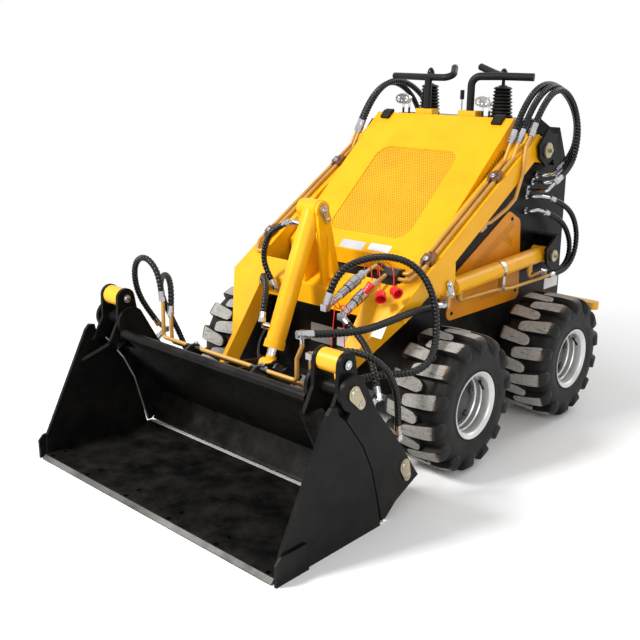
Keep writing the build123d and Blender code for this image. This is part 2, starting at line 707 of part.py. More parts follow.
def arm_pipes():
    """Steel pipes along the arms, their double clamps and the sleeves of the hoses at their upper ends."""
    inner = tube(pipe_end("tower_hose_left_inner") + [(343, -378, 665), (326, -416, 637), (BRACKET_X, -416, 637)], PIPE_R, 15)
    middle = tube(pipe_end("tower_hose_left_middle") + [(366, -402, 650), (342, -438, 623), (BRACKET_X, -438, 623)], PIPE_R, 15)
    inner = inner.fuse(*hose_end("tower_hose_left_inner", 0))
    middle = middle.fuse(*hose_end("tower_hose_left_middle", 0))
    clamps = []
    for y in (17, -352):
        z = arm_top(y)
        low, high = arm_top(y - 12), arm_top(y + 12)
        clamps.append(plate([(y - 12, low), (y + 12, high), (y + 12, high + 21), (y - 12, low + 21)], 333, 377))
        clamps.append(extrude(Plane.XY.offset(z + 16) * Pos(354.5, y) * RegularPolygon(9, 6), 13))
    left = inner.fuse(middle, *clamps)
    start = pipe_end("tower_hose_left_outer")
    route = [start[0], (391, 150, 1005), (392, 134, 905), (392, 100, 832), (392, 46, 802), (368, -14, 760), (368, -60, 760)]
    outer = tube(route, PIPE_R, 15).fuse(*hose_end("tower_hose_left_outer", 0))
    under = plate([(-95, arm_top(-95) - ARM_DEEP - 0.9), (-60, arm_top(-60) - ARM_DEEP - 0.9), (-60, 750), (-85, 738), (-95, 738)], 352, 384)
    tie = block(379, 412, -312, -298, 522, 560).fuse(*hose_end("bucket_supply_hose", -1))
    end, _ = spot(HOSES["bucket_supply_hose"][1][-1], HOSES["bucket_supply_hose"][1][-2], 44)
    tie = tie.fuse(spigot(end, (401, -308, 533), 8))
    # Elbows on the cross member where the tilt cylinder's hoses start.
    feet = []
    for name, index, foot in (("tilt_hose_upper", -1, (-136, -529, 526)), ("tilt_hose_lower", 0, (-222, -530, 540))):
        points = HOSES[name][1]
        other = points[1] if index == 0 else points[-2]
        end, _ = spot(points[index], other, 30)
        turn = knee(foot, 16)
        feet.append(turn.fuse(spigot(end, foot, 7), spigot(foot, (foot[0], -511, foot[2]), 7), *hose_end(name, index)))
    return [left, mirrored(left), outer.fuse(under), tie, *feet]


def couplers():
    """Two quick couplers in front of the cross member, each on a steel pipe from the bracket behind."""
    bracket = plate(
        [(-452, 602), (-441, 609 + RUN), (-415, 590 + RUN), (-402, 606), (-402, 648), (-430, 652), (-452, 634)],
        246,
        BRACKET_X,
    )
    # Columns: x, front end, rear end, then where its pipe turns and where it enters the bracket.
    table = (
        (215, (-640, 576), (-485, 645), (232, -440, 664), (262, -416, 622)),
        (255, (-650, 538), (-482, 619), (266, -450, 634), (284, -428, 620)),
    )
    items = [bracket]
    for x, front, rear, turn, foot in table:
        for start, end, radius in ((0, 30, 11), (30, 62, 14), (62, 80, 16), (80, 116, 17), (116, 150, 13)):
            items.append(bar(front, rear, start, end, radius, x))
        at = along(front, rear, 148)
        items.append(tube([(x, at[0], at[1]), turn, foot], PIPE_R, 18))
    items.append(spigot((215, -640, 576), (210, -676, 560), 10))
    items.append(knee((210, -677, 559), 22))
    items += hose_end("coupler_hose_over", 0)
    items.append(knee((258, -656, 534), 20))
    items += hose_end("jaw_hose_left_upper", 0)
    return items[0].fuse(*items[1:])


# Cylinders


def barrel(start, end, x, radius, to_d, eye_r, eye_half):
    """Cylinder barrel with its base eye and gland ring."""
    body = bar(start, end, 0, to_d, radius, x)
    ring = bar(start, end, to_d - 26, to_d, radius + 3, x)
    eye = disc(start, eye_r, x - eye_half, x + eye_half)
    return body.fuse(ring, eye)


def tilt_ports():
    """Ports on the front of the tilt cylinder, with the fittings of its two hoses."""
    (uy, uz), _ = direction(TILT_TOP, TILT_LOW)
    out = Vector(-0.6, 0.8 * uz, -0.8 * uy)
    pieces = []
    for name, index, down in (("tilt_hose_upper", 0, 60), ("tilt_hose_lower", -1, 409)):
        y, z = along(TILT_TOP, TILT_LOW, down)
        axis = Vector(0, y, z)
        pieces.append(spigot(axis + out * 28, axis + out * 56, BOSS_R))
        at = axis + out * 52
        _, points = HOSES[name]
        other = points[1] if index == 0 else points[-2]
        end, _ = spot(points[index], other, 33)
        pieces.append(spigot(at, end, 7))
        pieces += hose_end(name, index)
    return pieces


def jaw_ports(side):
    """Ports on the back of a jaw cylinder: at its base and at its gland."""
    (uy, uz), _ = direction(JAW_BASE_PIN, JAW_ROD_PIN)
    out = Vector(0, uz, -uy)
    pieces = []
    for label, down in (("lower", JAW_PORTS[0]), ("upper", JAW_PORTS[1])):
        y, z = along(JAW_BASE_PIN, JAW_ROD_PIN, down)
        axis = Vector(side * JAW_CYL_X, y, z)
        pieces.append(spigot(axis + out * 22, axis + out * 46, BOSS_R))
        pieces.append(spigot(axis + out * 46, axis + out * JAW_PORT_OUT, 8))
        at = axis + out * JAW_PORT_OUT
        name = f"jaw_hose_{'left' if side > 0 else 'right'}_{label}"
        _, points = HOSES[name]
        end, _ = spot(points[-1], points[-2], 30)
        pieces.append(spigot(at, end, 8))
        pieces.append(knee(tuple(at), 19))
        pieces += hose_end(name, -1)
    return pieces


def lift_ports():
    """Two ports under the left lift cylinder, the steel pipe to the front one and its clamp ring."""
    boss_rear = disc_z(LIFT_X, 318, 528, 562, BOSS_R)
    boss_front = disc_z(LIFT_X, -150, 512, 542, BOSS_R)
    pieces = [boss_rear, boss_front]
    _, upper = HOSES["lift_hose_left_upper"]
    _, lower = HOSES["lift_hose_left_lower"]
    at, _ = spot(upper[-1], upper[-2], 32)
    pieces.append(tube([tuple(at), (372, 150, 500), (362, 60, 508), (349, -100, 506), (349, -150, 506), (349, -150, 524)], PIPE_R, 9))
    at, _ = spot(lower[-1], lower[-2], 32)
    pieces.append(tube([tuple(at), (344, 372, 510), (349, 318, 508), (349, 318, 532)], PIPE_R, 9))
    pieces += hose_end("lift_hose_left_upper", -1)
    pieces += hose_end("lift_hose_left_lower", -1)
    clamp = bar(LIFT_BASE, LIFT_FRONT, 294, 312, LIFT_BARREL_R + 3, LIFT_X)
    pieces.append(clamp - bar(LIFT_BASE, LIFT_FRONT, 290, 316, LIFT_ROD_R + RUN, LIFT_X))
    pieces.append(block(356, 376, 84, 100, 495, 552))
    return pieces


def rod(start, end, x, radius, from_d, eye_r, eye_half):
    """Piston rod with its eye, from inside the barrel to the far pin."""
    _, length = direction(start, end)
    body = bar(start, end, from_d, length, radius, x)
    eye = disc(end, eye_r, x - eye_half, x + eye_half)
    return body.fuse(eye)


def cylinder(start, end, x, barrel_r, rod_r, to_d, eye_r, eye_half, pin_r, rod_eye_r, rod_eye_half, bore_d, spare):
    """Barrel and rod that telescope along the line between two pins."""
    shell = barrel(start, end, x, barrel_r, to_d, eye_r, eye_half)
    shell = shell - disc(start, pin_r + RUN, x - eye_half - 1, x + eye_half + 1)
    shell = shell - bar(start, end, bore_d, to_d + 1, rod_r + RUN, x)
    piston = rod(start, end, x, rod_r, bore_d + spare, rod_eye_r, rod_eye_half)
    return shell, piston


# Bucket


SEAM = ((-968, 370), (-896, 275), (-854, 190), (-827, 92), (-804, 12))


def end_plate(x0, x1, with_front):
    """End plate of the bucket's back half, rounded round the jaw pivot."""
    y, z = JAW_PIVOT
    outline = [(y + 38, z + 34), (-840, 360), (-752, 259), (-636, 100), (-740, 53)]
    if with_front:
        low = [(-790, 14)] + list(reversed(SEAM))
    else:
        low = [(BLADE_FOLD[0] + 6, BLADE_FOLD[1]), (-960, 383)]
    shape = plate(outline + low, x0, x1)
    return shape + disc(JAW_PIVOT, 50, x0, x1)


def blade():
    """Back half: folded blade, top beam, end plates and the lugs on its back."""
    t = BLADE_T
    upper = plate([BLADE_FOLD, BLADE_TOP, (BLADE_TOP[0] + t, BLADE_TOP[1] + 4), (BLADE_FOLD[0] + t * 1.5, BLADE_FOLD[1])], -INNER_END_X, INNER_END_X)
    end_x = BUCKET_X - PLATE_T
    (uy, uz), length = direction(BLADE_FOLD, BLADE_TOP)
    cut = along(BLADE_FOLD, BLADE_TOP, 278)
    wing = plate([BLADE_FOLD, cut, (cut[0] + t, cut[1] + 4), (BLADE_FOLD[0] + t * 1.5, BLADE_FOLD[1])], INNER_END_X, end_x)
    lower = plate([BLADE_LOW, BLADE_FOLD, (BLADE_FOLD[0] + t * 1.5, BLADE_FOLD[1]), (BLADE_LOW[0] + 14, BLADE_LOW[1])], -end_x, end_x)
    beam = disc((BLADE_TOP[0] - 2, BLADE_TOP[1] + 2), 16, -INNER_END_X + PLATE_T, INNER_END_X - PLATE_T)
    inner = end_plate(INNER_END_X - PLATE_T, INNER_END_X, False)
    outer = end_plate(end_x, BUCKET_X, True)
    low_tube = plate([(-786, 14), (-740, 53), (-690, 76), (-700, 96), (-738, 70)], -end_x, end_x)
    py, pz = BUCKET_PIVOT
    lug = plate([(py + 30, pz - 20), (py + 34, pz + 20), (py - 10, pz + 44), (-880, 300), (-752, 140)], 0, 12)
    lug = lug + disc(BUCKET_PIVOT, 36, 0, 12)
    lugs = []
    for x in (LEG_IN_X - 2 - 12, LEG_OUT_X + 2):
        lugs += pair(Pos(x, 0, 0) * lug)
    ty, tz = TILT_LOW
    top_lug = plate([(ty + 10, tz - 26), (ty + 22, tz + 10), (ty - 20, tz + 24), (-946, 380), (-800, 196)], 28, 40)
    top_lug = top_lug + disc(TILT_LOW, 28, 28, 40)
    head = disc(TILT_LOW, 19, 40, 48)
    pins = []
    for side in (1, -1):
        x0, x1 = LEG_IN_X - 14, LEG_OUT_X + 14
        pins.append(disc(BUCKET_PIVOT, PIN_R, min(side * x0, side * x1), max(side * x0, side * x1)))
    body = upper.fuse(wing, mirrored(wing), lower, beam, inner, mirrored(inner), outer, mirrored(outer), low_tube, *lugs, *pins)
    return body.fuse(top_lug, mirrored(top_lug), head, mirrored(head))


def bucket_pins():
    """Jaw pivot pins and cylinder base pins with their zinc lock plates."""
    pieces = []
    end_x = BUCKET_X - PLATE_T
    for place, low in ((JAW_PIVOT, (-914, 404)), (JAW_BASE_PIN, (-694, 116))):
        pin = disc(place, PIN_R, INNER_END_X, end_x)
        pieces += pair(pin)
        plate_l = link([(place[0], place[1], 22), (low[0], low[1], 15)], BUCKET_X, BUCKET_X + 5)
        head = disc(place, 12, BUCKET_X + 5, BUCKET_X + 8)
        bolt = disc(low, 7, BUCKET_X + 5, BUCKET_X + 8)
        pieces += pair(plate_l.fuse(head, bolt))
    return pieces


def bucket_pipes():
    """Two steel pipes behind the blade, their brackets, stubs and the fittings of the bucket's hoses."""
    long_pipe = tube(
        [(-301, -902, 534), (-304, -901, 402), (303, -900, 402), (303, -900, 468), (328, -905, 512), (330, -908, 542)],
        PIPE_R,
        14,
    )
    low_pipe = tube(
        [(-288, -882, 482), (-288, -880, 386), (318, -880, 386), (350, -890, 434), (350, -894, 480)],
        PIPE_R,
        14,
    )
    brackets = []
    for x in (-150, 150):
        outline = [(-955.3, 392), (-922.9, 352), (-871, 370), (-871, 396), (-888, 414), (-914, 414)]
        brackets.append(plate(outline, x - 4, x + 4))
    pieces = [low_pipe, *brackets]
    pieces += hose_end("bucket_supply_hose", 0) + [knee((329, -912, 548), 20)]
    pieces += hose_end("jaw_hose_left_lower", 0) + [knee((351, -896, 488), 19)]
    pieces += hose_end("jaw_hose_right_upper", 0)
    pieces += hose_end("jaw_hose_right_lower", 0)
    whole = long_pipe.fuse(*pieces)
    # Block on the blade's back where the hose over the arm ends.
    _, points = HOSES["coupler_hose_over"]
    end, _ = spot(points[-1], points[-2], 44)
    block_y = -900
    back = [(-946, 384), (-926.5, 360), (block_y, 352), (block_y, 384)]
    foot = plate(back, 382, 406).fuse(*hose_end("coupler_hose_over", -1))
    foot = foot.fuse(spigot(end, (394, block_y - 6, 366), 8))
    return [whole, foot]


def jaw_shell():
    """Front half: floor, side plates and side cutters."""
    x1 = BUCKET_X
    x0 = x1 - PLATE_T
    rear = [(-1004, 398)] + [(y - SEAM_GAP, z) for y, z in SEAM[:-1]] + [(SEAM[-1][0] - SEAM_GAP - 2, 0)]
    side = plate([(-1225, 0), (-1216, 80), (-1044, 408), (-1028, 424), (-1008, 420)] + rear, x0, x1)
    cutter = plate([(FRONT_Y, 0), (FRONT_Y, 62), (FRONT_Y + 18, 80), (FRONT_Y + 114, 80), (FRONT_Y + 122, 0)], x1, CUTTER_X)
    floor = block(-x0, x0, EDGE_REAR_Y, FLOOR_REAR_Y - SEAM_GAP, 0, FLOOR_T)
    return floor.fuse(side, mirrored(side), cutter, mirrored(cutter))


def cutting_edge():
    """Thick wear edge with its two rows of bolt holes."""
    x0 = BUCKET_X - PLATE_T
    outline = [(FRONT_Y, 0), (FRONT_Y, 4), (FRONT_Y + 12, EDGE_T), (EDGE_REAR_Y, EDGE_T), (EDGE_REAR_Y, 0)]
    edge = plate(outline, -x0, x0)
    for x in EDGE_BOLT_X:
        for y in EDGE_BOLT_Y:
            edge = edge - disc_z(x, y, -1, EDGE_T + 1, EDGE_BOLT_R)
    return edge


def jaw_ears_left():
    """Inner and outer ears, the tube round the pivot and the bent plate under the inner ear."""
    y, z = JAW_PIVOT
    ry, rz = JAW_ROD_PIN

    def ear(x0, x1):
        shape = link([(ry, rz, 34), (y, z, 42)], x0, x1)
        return shape + plate([(y - 41, z + 6), (-1026, 372), (-955, 372), (y + 20, z - 36)], x0, x1)

    inner = ear(EAR_IN_X - PLATE_T, EAR_IN_X)
    outer = ear(EAR_OUT_X - PLATE_T, EAR_OUT_X)
    sleeve = disc(JAW_PIVOT, 22, EAR_IN_X, EAR_OUT_X - PLATE_T)
    bent = bent_plate()
    fill = plate([(-1026, 372), (-1020, 384), (-990, 384), (-990, 330), (-1000, 330)], EAR_OUT_X, BUCKET_X - PLATE_T)
    pin_heads = disc(JAW_ROD_PIN, 17, EAR_IN_X - PLATE_T - 5, EAR_IN_X - PLATE_T)
    pin_out = disc(JAW_ROD_PIN, 15, EAR_OUT_X, EAR_OUT_X + 3)
    body = inner.fuse(outer, sleeve, bent, fill, pin_heads, pin_out)
    return body - disc(JAW_PIVOT, PIN_R + RUN, EAR_IN_X - 20, EAR_OUT_X + 2)


def bent_plate():
    """Plate that leans from the inner ear's lower edge out to the side plate."""
    x0 = EAR_IN_X - PLATE_T
    x1 = BUCKET_X - PLATE_T
    a = [(x0, -1026, 372), (x0, -955, 372), (x0, -955, 384), (x0, -1026, 384)]
    b = [(x1, -1070, 300), (x1, -940, 300), (x1, -940, 312), (x1, -1070, 312)]
    return loft([make_face(Polyline(*a, close=True)), make_face(Polyline(*b, close=True))])


def main():
    os.makedirs("parts", exist_ok=True)
    wheel_y = WHEELBASE / 2
    tyre = tyre_left()
    rim = rim_left()
    corners = (
        ("front_left", 1, -wheel_y),
        ("front_right", -1, -wheel_y),
        ("rear_left", 1, wheel_y),
        ("rear_right", -1, wheel_y),
    )
    for name, side, y in corners:
        place = Pos(side * TYRE_X, y, TYRE_R)
        for kind, shape in (("tyre", tyre), ("rim", rim)):
            piece = shape if side > 0 else mirrored(shape)
            save(f"{kind}_{name}", place * piece)
    save("chassis_frame", chassis_frame())
    towers = tower_left()
    save("tower_left", towers)
    save("tower_right", [mirrored(t) for t in towers])
    save("panel_fittings", panel_fittings())
    save("hood", hood())
    save("hood_grilles", hood_grilles())
    save("side_covers", side_covers())
    save("console_deck", console())
    save("engine_block", engine_block())
    save("handlebars", handlebars())
    save("joystick_bellows", joysticks())
    save("work_lamps", lamps())
    save("hood_latches", latches())
    save("rear_guard", rear_guard())
    save("axle_hubs", axle_hubs())
    arm = arm_left()
    save("lift_arm_left", arm)
    save("lift_arm_right", mirrored(arm))
    save("cross_member", cross_member())
    save("arm_pipes", arm_pipes())
    save("quick_couplers", couplers())
    lift_shell, lift_rod = cylinder(LIFT_BASE, LIFT_FRONT, LIFT_X, LIFT_BARREL_R, LIFT_ROD_R, 600, 30, 30, PIN_R, 25, 18, 60, 15)
    jaw_shell_l, jaw_rod_l = cylinder(JAW_BASE_PIN, JAW_ROD_PIN, JAW_CYL_X, JAW_BARREL_R, JAW_ROD_R, 318, 27, 34, PIN_R, 31, JAW_EYE_HALF, 50, 85)
    tilt_shell, tilt_rod = cylinder(TILT_TOP, TILT_LOW, 0, TILT_BARREL_R, TILT_ROD_R, 474, 32, 33, PIN_R, 26, 27, 60, 45)
    lift_ported = lift_shell.fuse(*lift_ports())
    for side, sign in (("left", 1), ("right", -1)):
        save(f"lift_barrel_{side}", lift_ported if sign > 0 else mirrored(lift_ported))
        save(f"lift_rod_{side}", lift_rod if sign > 0 else mirrored(lift_rod))
        jaw_barrel = jaw_shell_l if sign > 0 else mirrored(jaw_shell_l)
        save(f"jaw_barrel_{side}", jaw_barrel.fuse(*jaw_ports(sign)))
        save(f"jaw_rod_{side}", jaw_rod_l if sign > 0 else mirrored(jaw_rod_l))
    save("tilt_barrel", tilt_shell.fuse(*tilt_ports()))
    save("tilt_rod", tilt_rod)
    save("bucket_blade", blade())
    save("bucket_pins", bucket_pins())
    save("bucket_pipes", bucket_pipes())
    save("jaw_shell", jaw_shell())
    save("cutting_edge", cutting_edge())
    ears = jaw_ears_left()
    save("jaw_ears", pair(ears))
    for name in HOSES:
        save(name, hose(name))


main()
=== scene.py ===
import math

import bmesh
import bpy
import numpy as np
from mathutils import Matrix, Vector


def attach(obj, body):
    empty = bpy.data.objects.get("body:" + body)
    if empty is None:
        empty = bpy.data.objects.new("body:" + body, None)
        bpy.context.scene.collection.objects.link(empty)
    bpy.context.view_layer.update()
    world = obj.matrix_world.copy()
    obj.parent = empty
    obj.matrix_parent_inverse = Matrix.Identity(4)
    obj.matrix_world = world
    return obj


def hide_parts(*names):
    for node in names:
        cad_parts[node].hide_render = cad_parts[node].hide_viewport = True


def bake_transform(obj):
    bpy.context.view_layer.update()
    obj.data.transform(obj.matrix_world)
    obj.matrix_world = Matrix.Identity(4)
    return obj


# Stand-on skid steer loader with a four-in-one bucket, in metres, in the part's own frame:
# +X the machine's left, -Y its front, +Z up, origin on the ground under the middle of its length.

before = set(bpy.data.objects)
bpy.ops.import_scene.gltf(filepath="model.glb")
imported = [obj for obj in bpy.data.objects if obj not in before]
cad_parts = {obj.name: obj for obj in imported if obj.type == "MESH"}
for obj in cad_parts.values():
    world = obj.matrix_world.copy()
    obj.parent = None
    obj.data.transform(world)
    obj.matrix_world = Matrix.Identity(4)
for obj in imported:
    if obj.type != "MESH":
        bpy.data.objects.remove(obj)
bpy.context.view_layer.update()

# Places below are written as in the part's source: millimetres, with y = 0 midway between the axles.
FRAME_Y = 290.5
MM = 0.001
# The machine's two sides: sign of x, and the word that names carry.
SIDES = ((1, "left"), (-1, "right"))
# Points nearer than this are merged, in metres.
MERGE = 2e-6


def place(points):
    """Millimetres of the part's source as metres in the shared frame."""
    return (np.asarray(points, float) + (0.0, FRAME_Y, 0.0)) * MM


def unit(vector):
    """Vector of length one along a vector."""
    vector = np.asarray(vector, float)
    return vector / np.linalg.norm(vector)


# Surfaces


def shell(grid, round_rows=False, round_cols=False, ends=False, rim=None):
    """Vertices and faces of a grid of points, rows by columns: quads between neighbours, a fan over each end
    row where asked, and a fan from the border to one point, the rim, where that is given."""
    rows, cols = grid.shape[:2]
    index = np.arange(rows * cols).reshape(rows, cols)
    low = index if round_rows else index[:-1]
    high = np.roll(index, -1, 0) if round_rows else index[1:]
    if round_cols:
        quads = np.stack([low, np.roll(low, -1, 1), np.roll(high, -1, 1), high], -1)
    else:
        quads = np.stack([low[:, :-1], low[:, 1:], high[:, 1:], high[:, :-1]], -1)
    points = [grid.reshape(-1, 3)]
    faces = quads.reshape(-1, 4).tolist()
    count = rows * cols
    loops = [index[0], index[-1]] if ends else []
    middles = [grid.reshape(-1, 3)[row].mean(0) for row in loops]
    if rim is not None:
        loops.append(np.concatenate([index[0], index[1:, -1], index[-1, -2::-1], index[-2:0:-1, 0]]))
        middles.append(rim)
    for loop, middle in zip(loops, middles):
        points.append(np.asarray(middle, float)[None])
        faces += np.stack([loop, np.roll(loop, -1), np.full(len(loop), count)], -1).tolist()
        count += 1
    return np.vstack(points), faces


def tube(grid):
    """Shell that is round across its rows and closed at both ends."""
    return shell(grid, round_cols=True, ends=True)


def ring(grid):
    """Shell that is round both ways."""
    return shell(grid, round_rows=True, round_cols=True)


def build(name, shells, material, body=None, sharp=35.0, marks=None):
    """One piece from several shells: joined, merged, faces turned outwards, smooth but for edges past an
    angle in degrees."""
    points, faces, start = [], [], 0
    for verts, quads in shells:
        points.append(verts)
        faces += [[corner + start for corner in face] for face in quads]
        start += len(verts)
    mesh = bpy.data.meshes.new(name)
    mesh.from_pydata(np.vstack(points).tolist(), [], faces)
    if marks is not None:
        layer = mesh.attributes.new("dust", "FLOAT", "POINT")
        layer.data.foreach_set("value", np.concatenate(marks).astype(np.float32))
    work = bmesh.new()
    work.from_mesh(mesh)
    bmesh.ops.remove_doubles(work, verts=work.verts, dist=MERGE)
    bmesh.ops.recalc_face_normals(work, faces=work.faces)
    work.to_mesh(mesh)
    work.free()
    mesh.shade_smooth()
    mesh.set_sharp_from_angle(angle=math.radians(sharp))
    piece = link_piece(mesh, name, material)
    if body:
        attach(piece, body)
    return piece


def link_piece(mesh, name, material):
    """Wraps a mesh in an object that sits at the origin."""
    mesh.materials.append(material)
    return add_object(name, mesh)


def add_object(name, data):
    """New object of the scene."""
    made = bpy.data.objects.new(name, data)
    bpy.context.scene.collection.objects.link(made)
    return made


def square_to(axis):
    """Two unit vectors square to an axis and to each other."""
    axis = unit(axis)
    helper = np.array([0.0, 0.0, 1.0]) if abs(axis[2]) < 0.9 else np.array([1.0, 0.0, 0.0])
    side = unit(np.cross(helper, axis))
    return side, np.cross(axis, side)


def circle(steps):
    """Angles of equal steps once round."""
    return np.linspace(0, 2 * np.pi, steps, endpoint=False)


def lathe(profile, at, axis, sides):
    """Profile (along, radius) turned about an axis, in millimetres of the part's source: point = at + along
    * axis + radius * (cos a * side + sin a * up)."""
    profile = np.asarray(profile, float) * MM
    axis = unit(axis)
    side, up = square_to(axis)
    angle = circle(sides)
    out = np.cos(angle)[:, None] * side + np.sin(angle)[:, None] * up
    return tube(place(at) + profile[:, None, :1] * axis + profile[:, None, 1:] * out[None])


def hoop(centre, across, up, size, thick, steps):
    """Ring of small ovals round a large one. With size (wide, tall), thick (t, deep), a the angle round the
    ring and b round its section, a point is centre + (wide + t cos b) cos a across + (tall + t cos b) sin a
    up + deep sin b out."""
    a, b = circle(steps[0])[:, None], circle(steps[1])[:, None, None]
    wide, tall = (length + thick[0] * np.cos(b) for length in size)
    grid = wide * np.cos(a) * across + tall * np.sin(a) * up + thick[1] * np.sin(b) * np.cross(across, up)
    return ring(place(centre) + grid * MM)


def rounded(corners, radius, steps=5):
    """Outline of a polygon whose corners are arcs: each runs between the points a radius' tangent away."""
    corners = np.asarray(corners, float)
    before = np.roll(corners, 1, 0) - corners
    after = np.roll(corners, -1, 0) - corners
    before /= np.linalg.norm(before, axis=1)[:, None]
    after /= np.linalg.norm(after, axis=1)[:, None]
    half = 0.5 * np.arccos(np.clip((before * after).sum(1), -1, 1))
    reach = (radius / np.tan(half))[:, None]
    t = np.linspace(0, 1, steps)[None, :, None]
    a, b = (corners + before * reach)[:, None], (corners + after * reach)[:, None]
    c = corners[:, None]
    weight = np.sin(half)[:, None, None]
    low = (1 - t) ** 2 + 2 * t * (1 - t) * weight + t**2
    return (((1 - t) ** 2 * a + 2 * t * (1 - t) * weight * c + t**2 * b) / low).reshape(-1, 2)


def slab(outline, origin, across, up, thick, edge=0.0006):
    """Flat plate: rings of one outline pulled in by the edge's share at the two faces, capped by fans."""
    outline = np.asarray(outline, float)
    across, up = unit(across), unit(up)
    out = np.cross(across, up)
    step = np.roll(outline, -1, 0) - np.roll(outline, 1, 0)
    step /= np.linalg.norm(step, axis=1)[:, None] + 1e-12
    area = np.sum(outline[:, 0] * np.roll(outline[:, 1], -1) - outline[:, 1] * np.roll(outline[:, 0], -1))
    inward = np.stack([-step[:, 1], step[:, 0]], 1) * np.sign(area)
    rings = [(edge, 0.0), (0.0, edge), (0.0, thick - edge), (edge, thick)]
    grid = []
    for pulled, height in rings:
        flat = outline + inward * pulled
        grid.append(flat[:, :1] * across + flat[:, 1:] * up + height * out)
    return tube(origin + np.stack(grid))


def follow(line):
    """Unit tangents of a line and two normals that turn as little as they can along it."""
    tangent = np.gradient(line, axis=0)
    tangent /= np.linalg.norm(tangent, axis=1)[:, None]
    side = np.empty_like(line)
    now = square_to(tangent[0])[0]
    for step, ahead in enumerate(tangent):
        now = unit(now - ahead * (now @ ahead))
        side[step] = now
    return tangent, side, np.cross(tangent, side)


def route_line(name, points):
    """Smooth line of a route: a NURBS spline with the route's points as its control points, read back as
    points."""
    curve = bpy.data.curves.new(name, "CURVE")
    curve.dimensions = "3D"
    spline = curve.splines.new("NURBS")
    spline.points.add(len(points) - 1)
    spline.points.foreach_set("co", np.hstack([points, np.ones((len(points), 1))]).ravel())
    spline.order_u = 3
    spline.use_endpoint_u = True
    spline.resolution_u = 24
    holder = bpy.data.objects.new(name, curve)
    mesh = bpy.data.meshes.new_from_object(holder)
    line = np.empty(len(mesh.vertices) * 3)
    mesh.vertices.foreach_get("co", line)
    line = line.reshape(-1, 3)
    bpy.data.objects.remove(holder)
    bpy.data.curves.remove(curve)
    bpy.data.meshes.remove(mesh)
    keep = np.r_[True, np.linalg.norm(np.diff(line, axis=0), axis=1) > 1e-5]
    return line[keep]


def stations(line):
    """Distance along a line at each of its points."""
    return np.r_[0.0, np.cumsum(np.linalg.norm(np.diff(line, axis=0), axis=1))]


def carried(line, along, angle, radius):
    """Points of a tube: at a distance along the line, and at an angle and radius round it."""
    reach = stations(line)
    _, side, up = follow(line)

    def read(values):
        return np.stack([np.interp(along, reach, values[:, k]) for k in range(3)], -1)

    out = np.cos(angle)[..., None] * read(side) + np.sin(angle)[..., None] * read(up)
    return read(line) + radius[..., None] * out


def wrapped(line, radius, pitch=0.0125, depth=0.24, sides=14, steps=6):
    """Hose in a spiral wrap. A row of points is one edge of the wrap: it climbs one pitch in a turn, so at
    angle a it stands at distance (row / steps - 1 + a / turn) * pitch, with a radius that dips in the groove
    between two turns."""
    length = stations(line)[-1]
    rows = np.arange(int(length / pitch * steps) + 2 * steps + 1)
    angle = np.linspace(0, 2 * np.pi, sides + 1)[None, :]
    along = (rows[:, None] / steps - 1 + angle / (2 * np.pi)) * pitch
    dip = np.array([1.0, 0.25, 0.0, 0.0, 0.0, 0.25])[rows % steps][:, None]
    reach = radius * (1 + depth * 0.25 - depth * dip) * np.ones_like(along)
    inside = np.clip(along, 0, length)
    return shell(carried(line, inside, angle * np.ones_like(along), reach))


def plain_tube(line, radius, sides):
    """Round tube along a line, closed at both ends."""
    reach = stations(line)[:, None]
    angle = circle(sides)[None, :]
    along = reach * np.ones_like(angle)
    return tube(carried(line, along, angle * np.ones_like(along), radius * np.ones_like(along)))


# Materials


def node(tree, kind, **values):
    """Adds a shader node; values name its settings, and those that start with in_ set its sockets."""
    made = tree.nodes.new(kind)
    for key, value in values.items():
        if key.startswith("in_"):
            made.inputs[key[3:]].default_value = value
        else:
            setattr(made, key, value)
    return made


def feed(tree, target, value):
    """Links an output to a socket, or sets the socket to a plain number or colour."""
    if isinstance(value, (int, float)):
        target.default_value = value
    elif isinstance(value, tuple):
        target.default_value = (*value, 1.0) if len(target.default_value) == 4 else value
    else:
        tree.links.new(value, target)


def sums(tree, how, a, b=0.0):
    """One arithmetic step on values or plain numbers."""
    made = node(tree, "ShaderNodeMath", operation=how)
    feed(tree, made.inputs[0], a)
    feed(tree, made.inputs[1], b)
    return made.outputs[0]


def times(tree, first, *others):
    """Product of several values."""
    for other in others:
        first = sums(tree, "MULTIPLY", first, other)
    return first


def turns(tree, how, a, b=None):
    """One vector step; the result is a vector, or a number for dot products, lengths and distances."""
    made = node(tree, "ShaderNodeVectorMath", operation=how)
    feed(tree, made.inputs[0], a)
    if b is not None:
        feed(tree, made.inputs[1], b)
    return made.outputs["Value" if how in ("DOT_PRODUCT", "LENGTH", "DISTANCE") else "Vector"]


def noise(tree, coords, scale, detail=4.0, rough=0.55, stretch=None):
    """Noise over object coordinates, stretched along an axis where asked."""
    if stretch:
        coords = turns(tree, "MULTIPLY", coords, stretch)
    made = node(tree, "ShaderNodeTexNoise", in_Scale=scale, in_Detail=detail, in_Roughness=rough)
    tree.links.new(coords, made.inputs["Vector"])
    return made.outputs["Fac"]


def ramp(tree, value, low, high, at_low=0.0, at_high=1.0):
    """Straight ramp of a value between two limits, clamped outside them."""
    made = node(tree, "ShaderNodeMapRange", clamp=True)
    for slot, number in zip((1, 2, 3, 4), (low, high, at_low, at_high)):
        made.inputs[slot].default_value = number
    tree.links.new(value, made.inputs[0])
    return made.outputs[0]


def between(tree, share, first, second):
    """Mixes two numbers."""
    made = node(tree, "ShaderNodeMix", data_type="FLOAT")
    for slot, value in ((0, share), (2, first), (3, second)):
        feed(tree, made.inputs[slot], value)
    return made.outputs[0]


def tint(tree, share, first, second):
    """Mixes two colours; each is an output or a plain colour."""
    made = node(tree, "ShaderNodeMix", data_type="RGBA")
    for slot, value in ((0, share), (6, first), (7, second)):
        feed(tree, made.inputs[slot], value)
    return made.outputs[2]


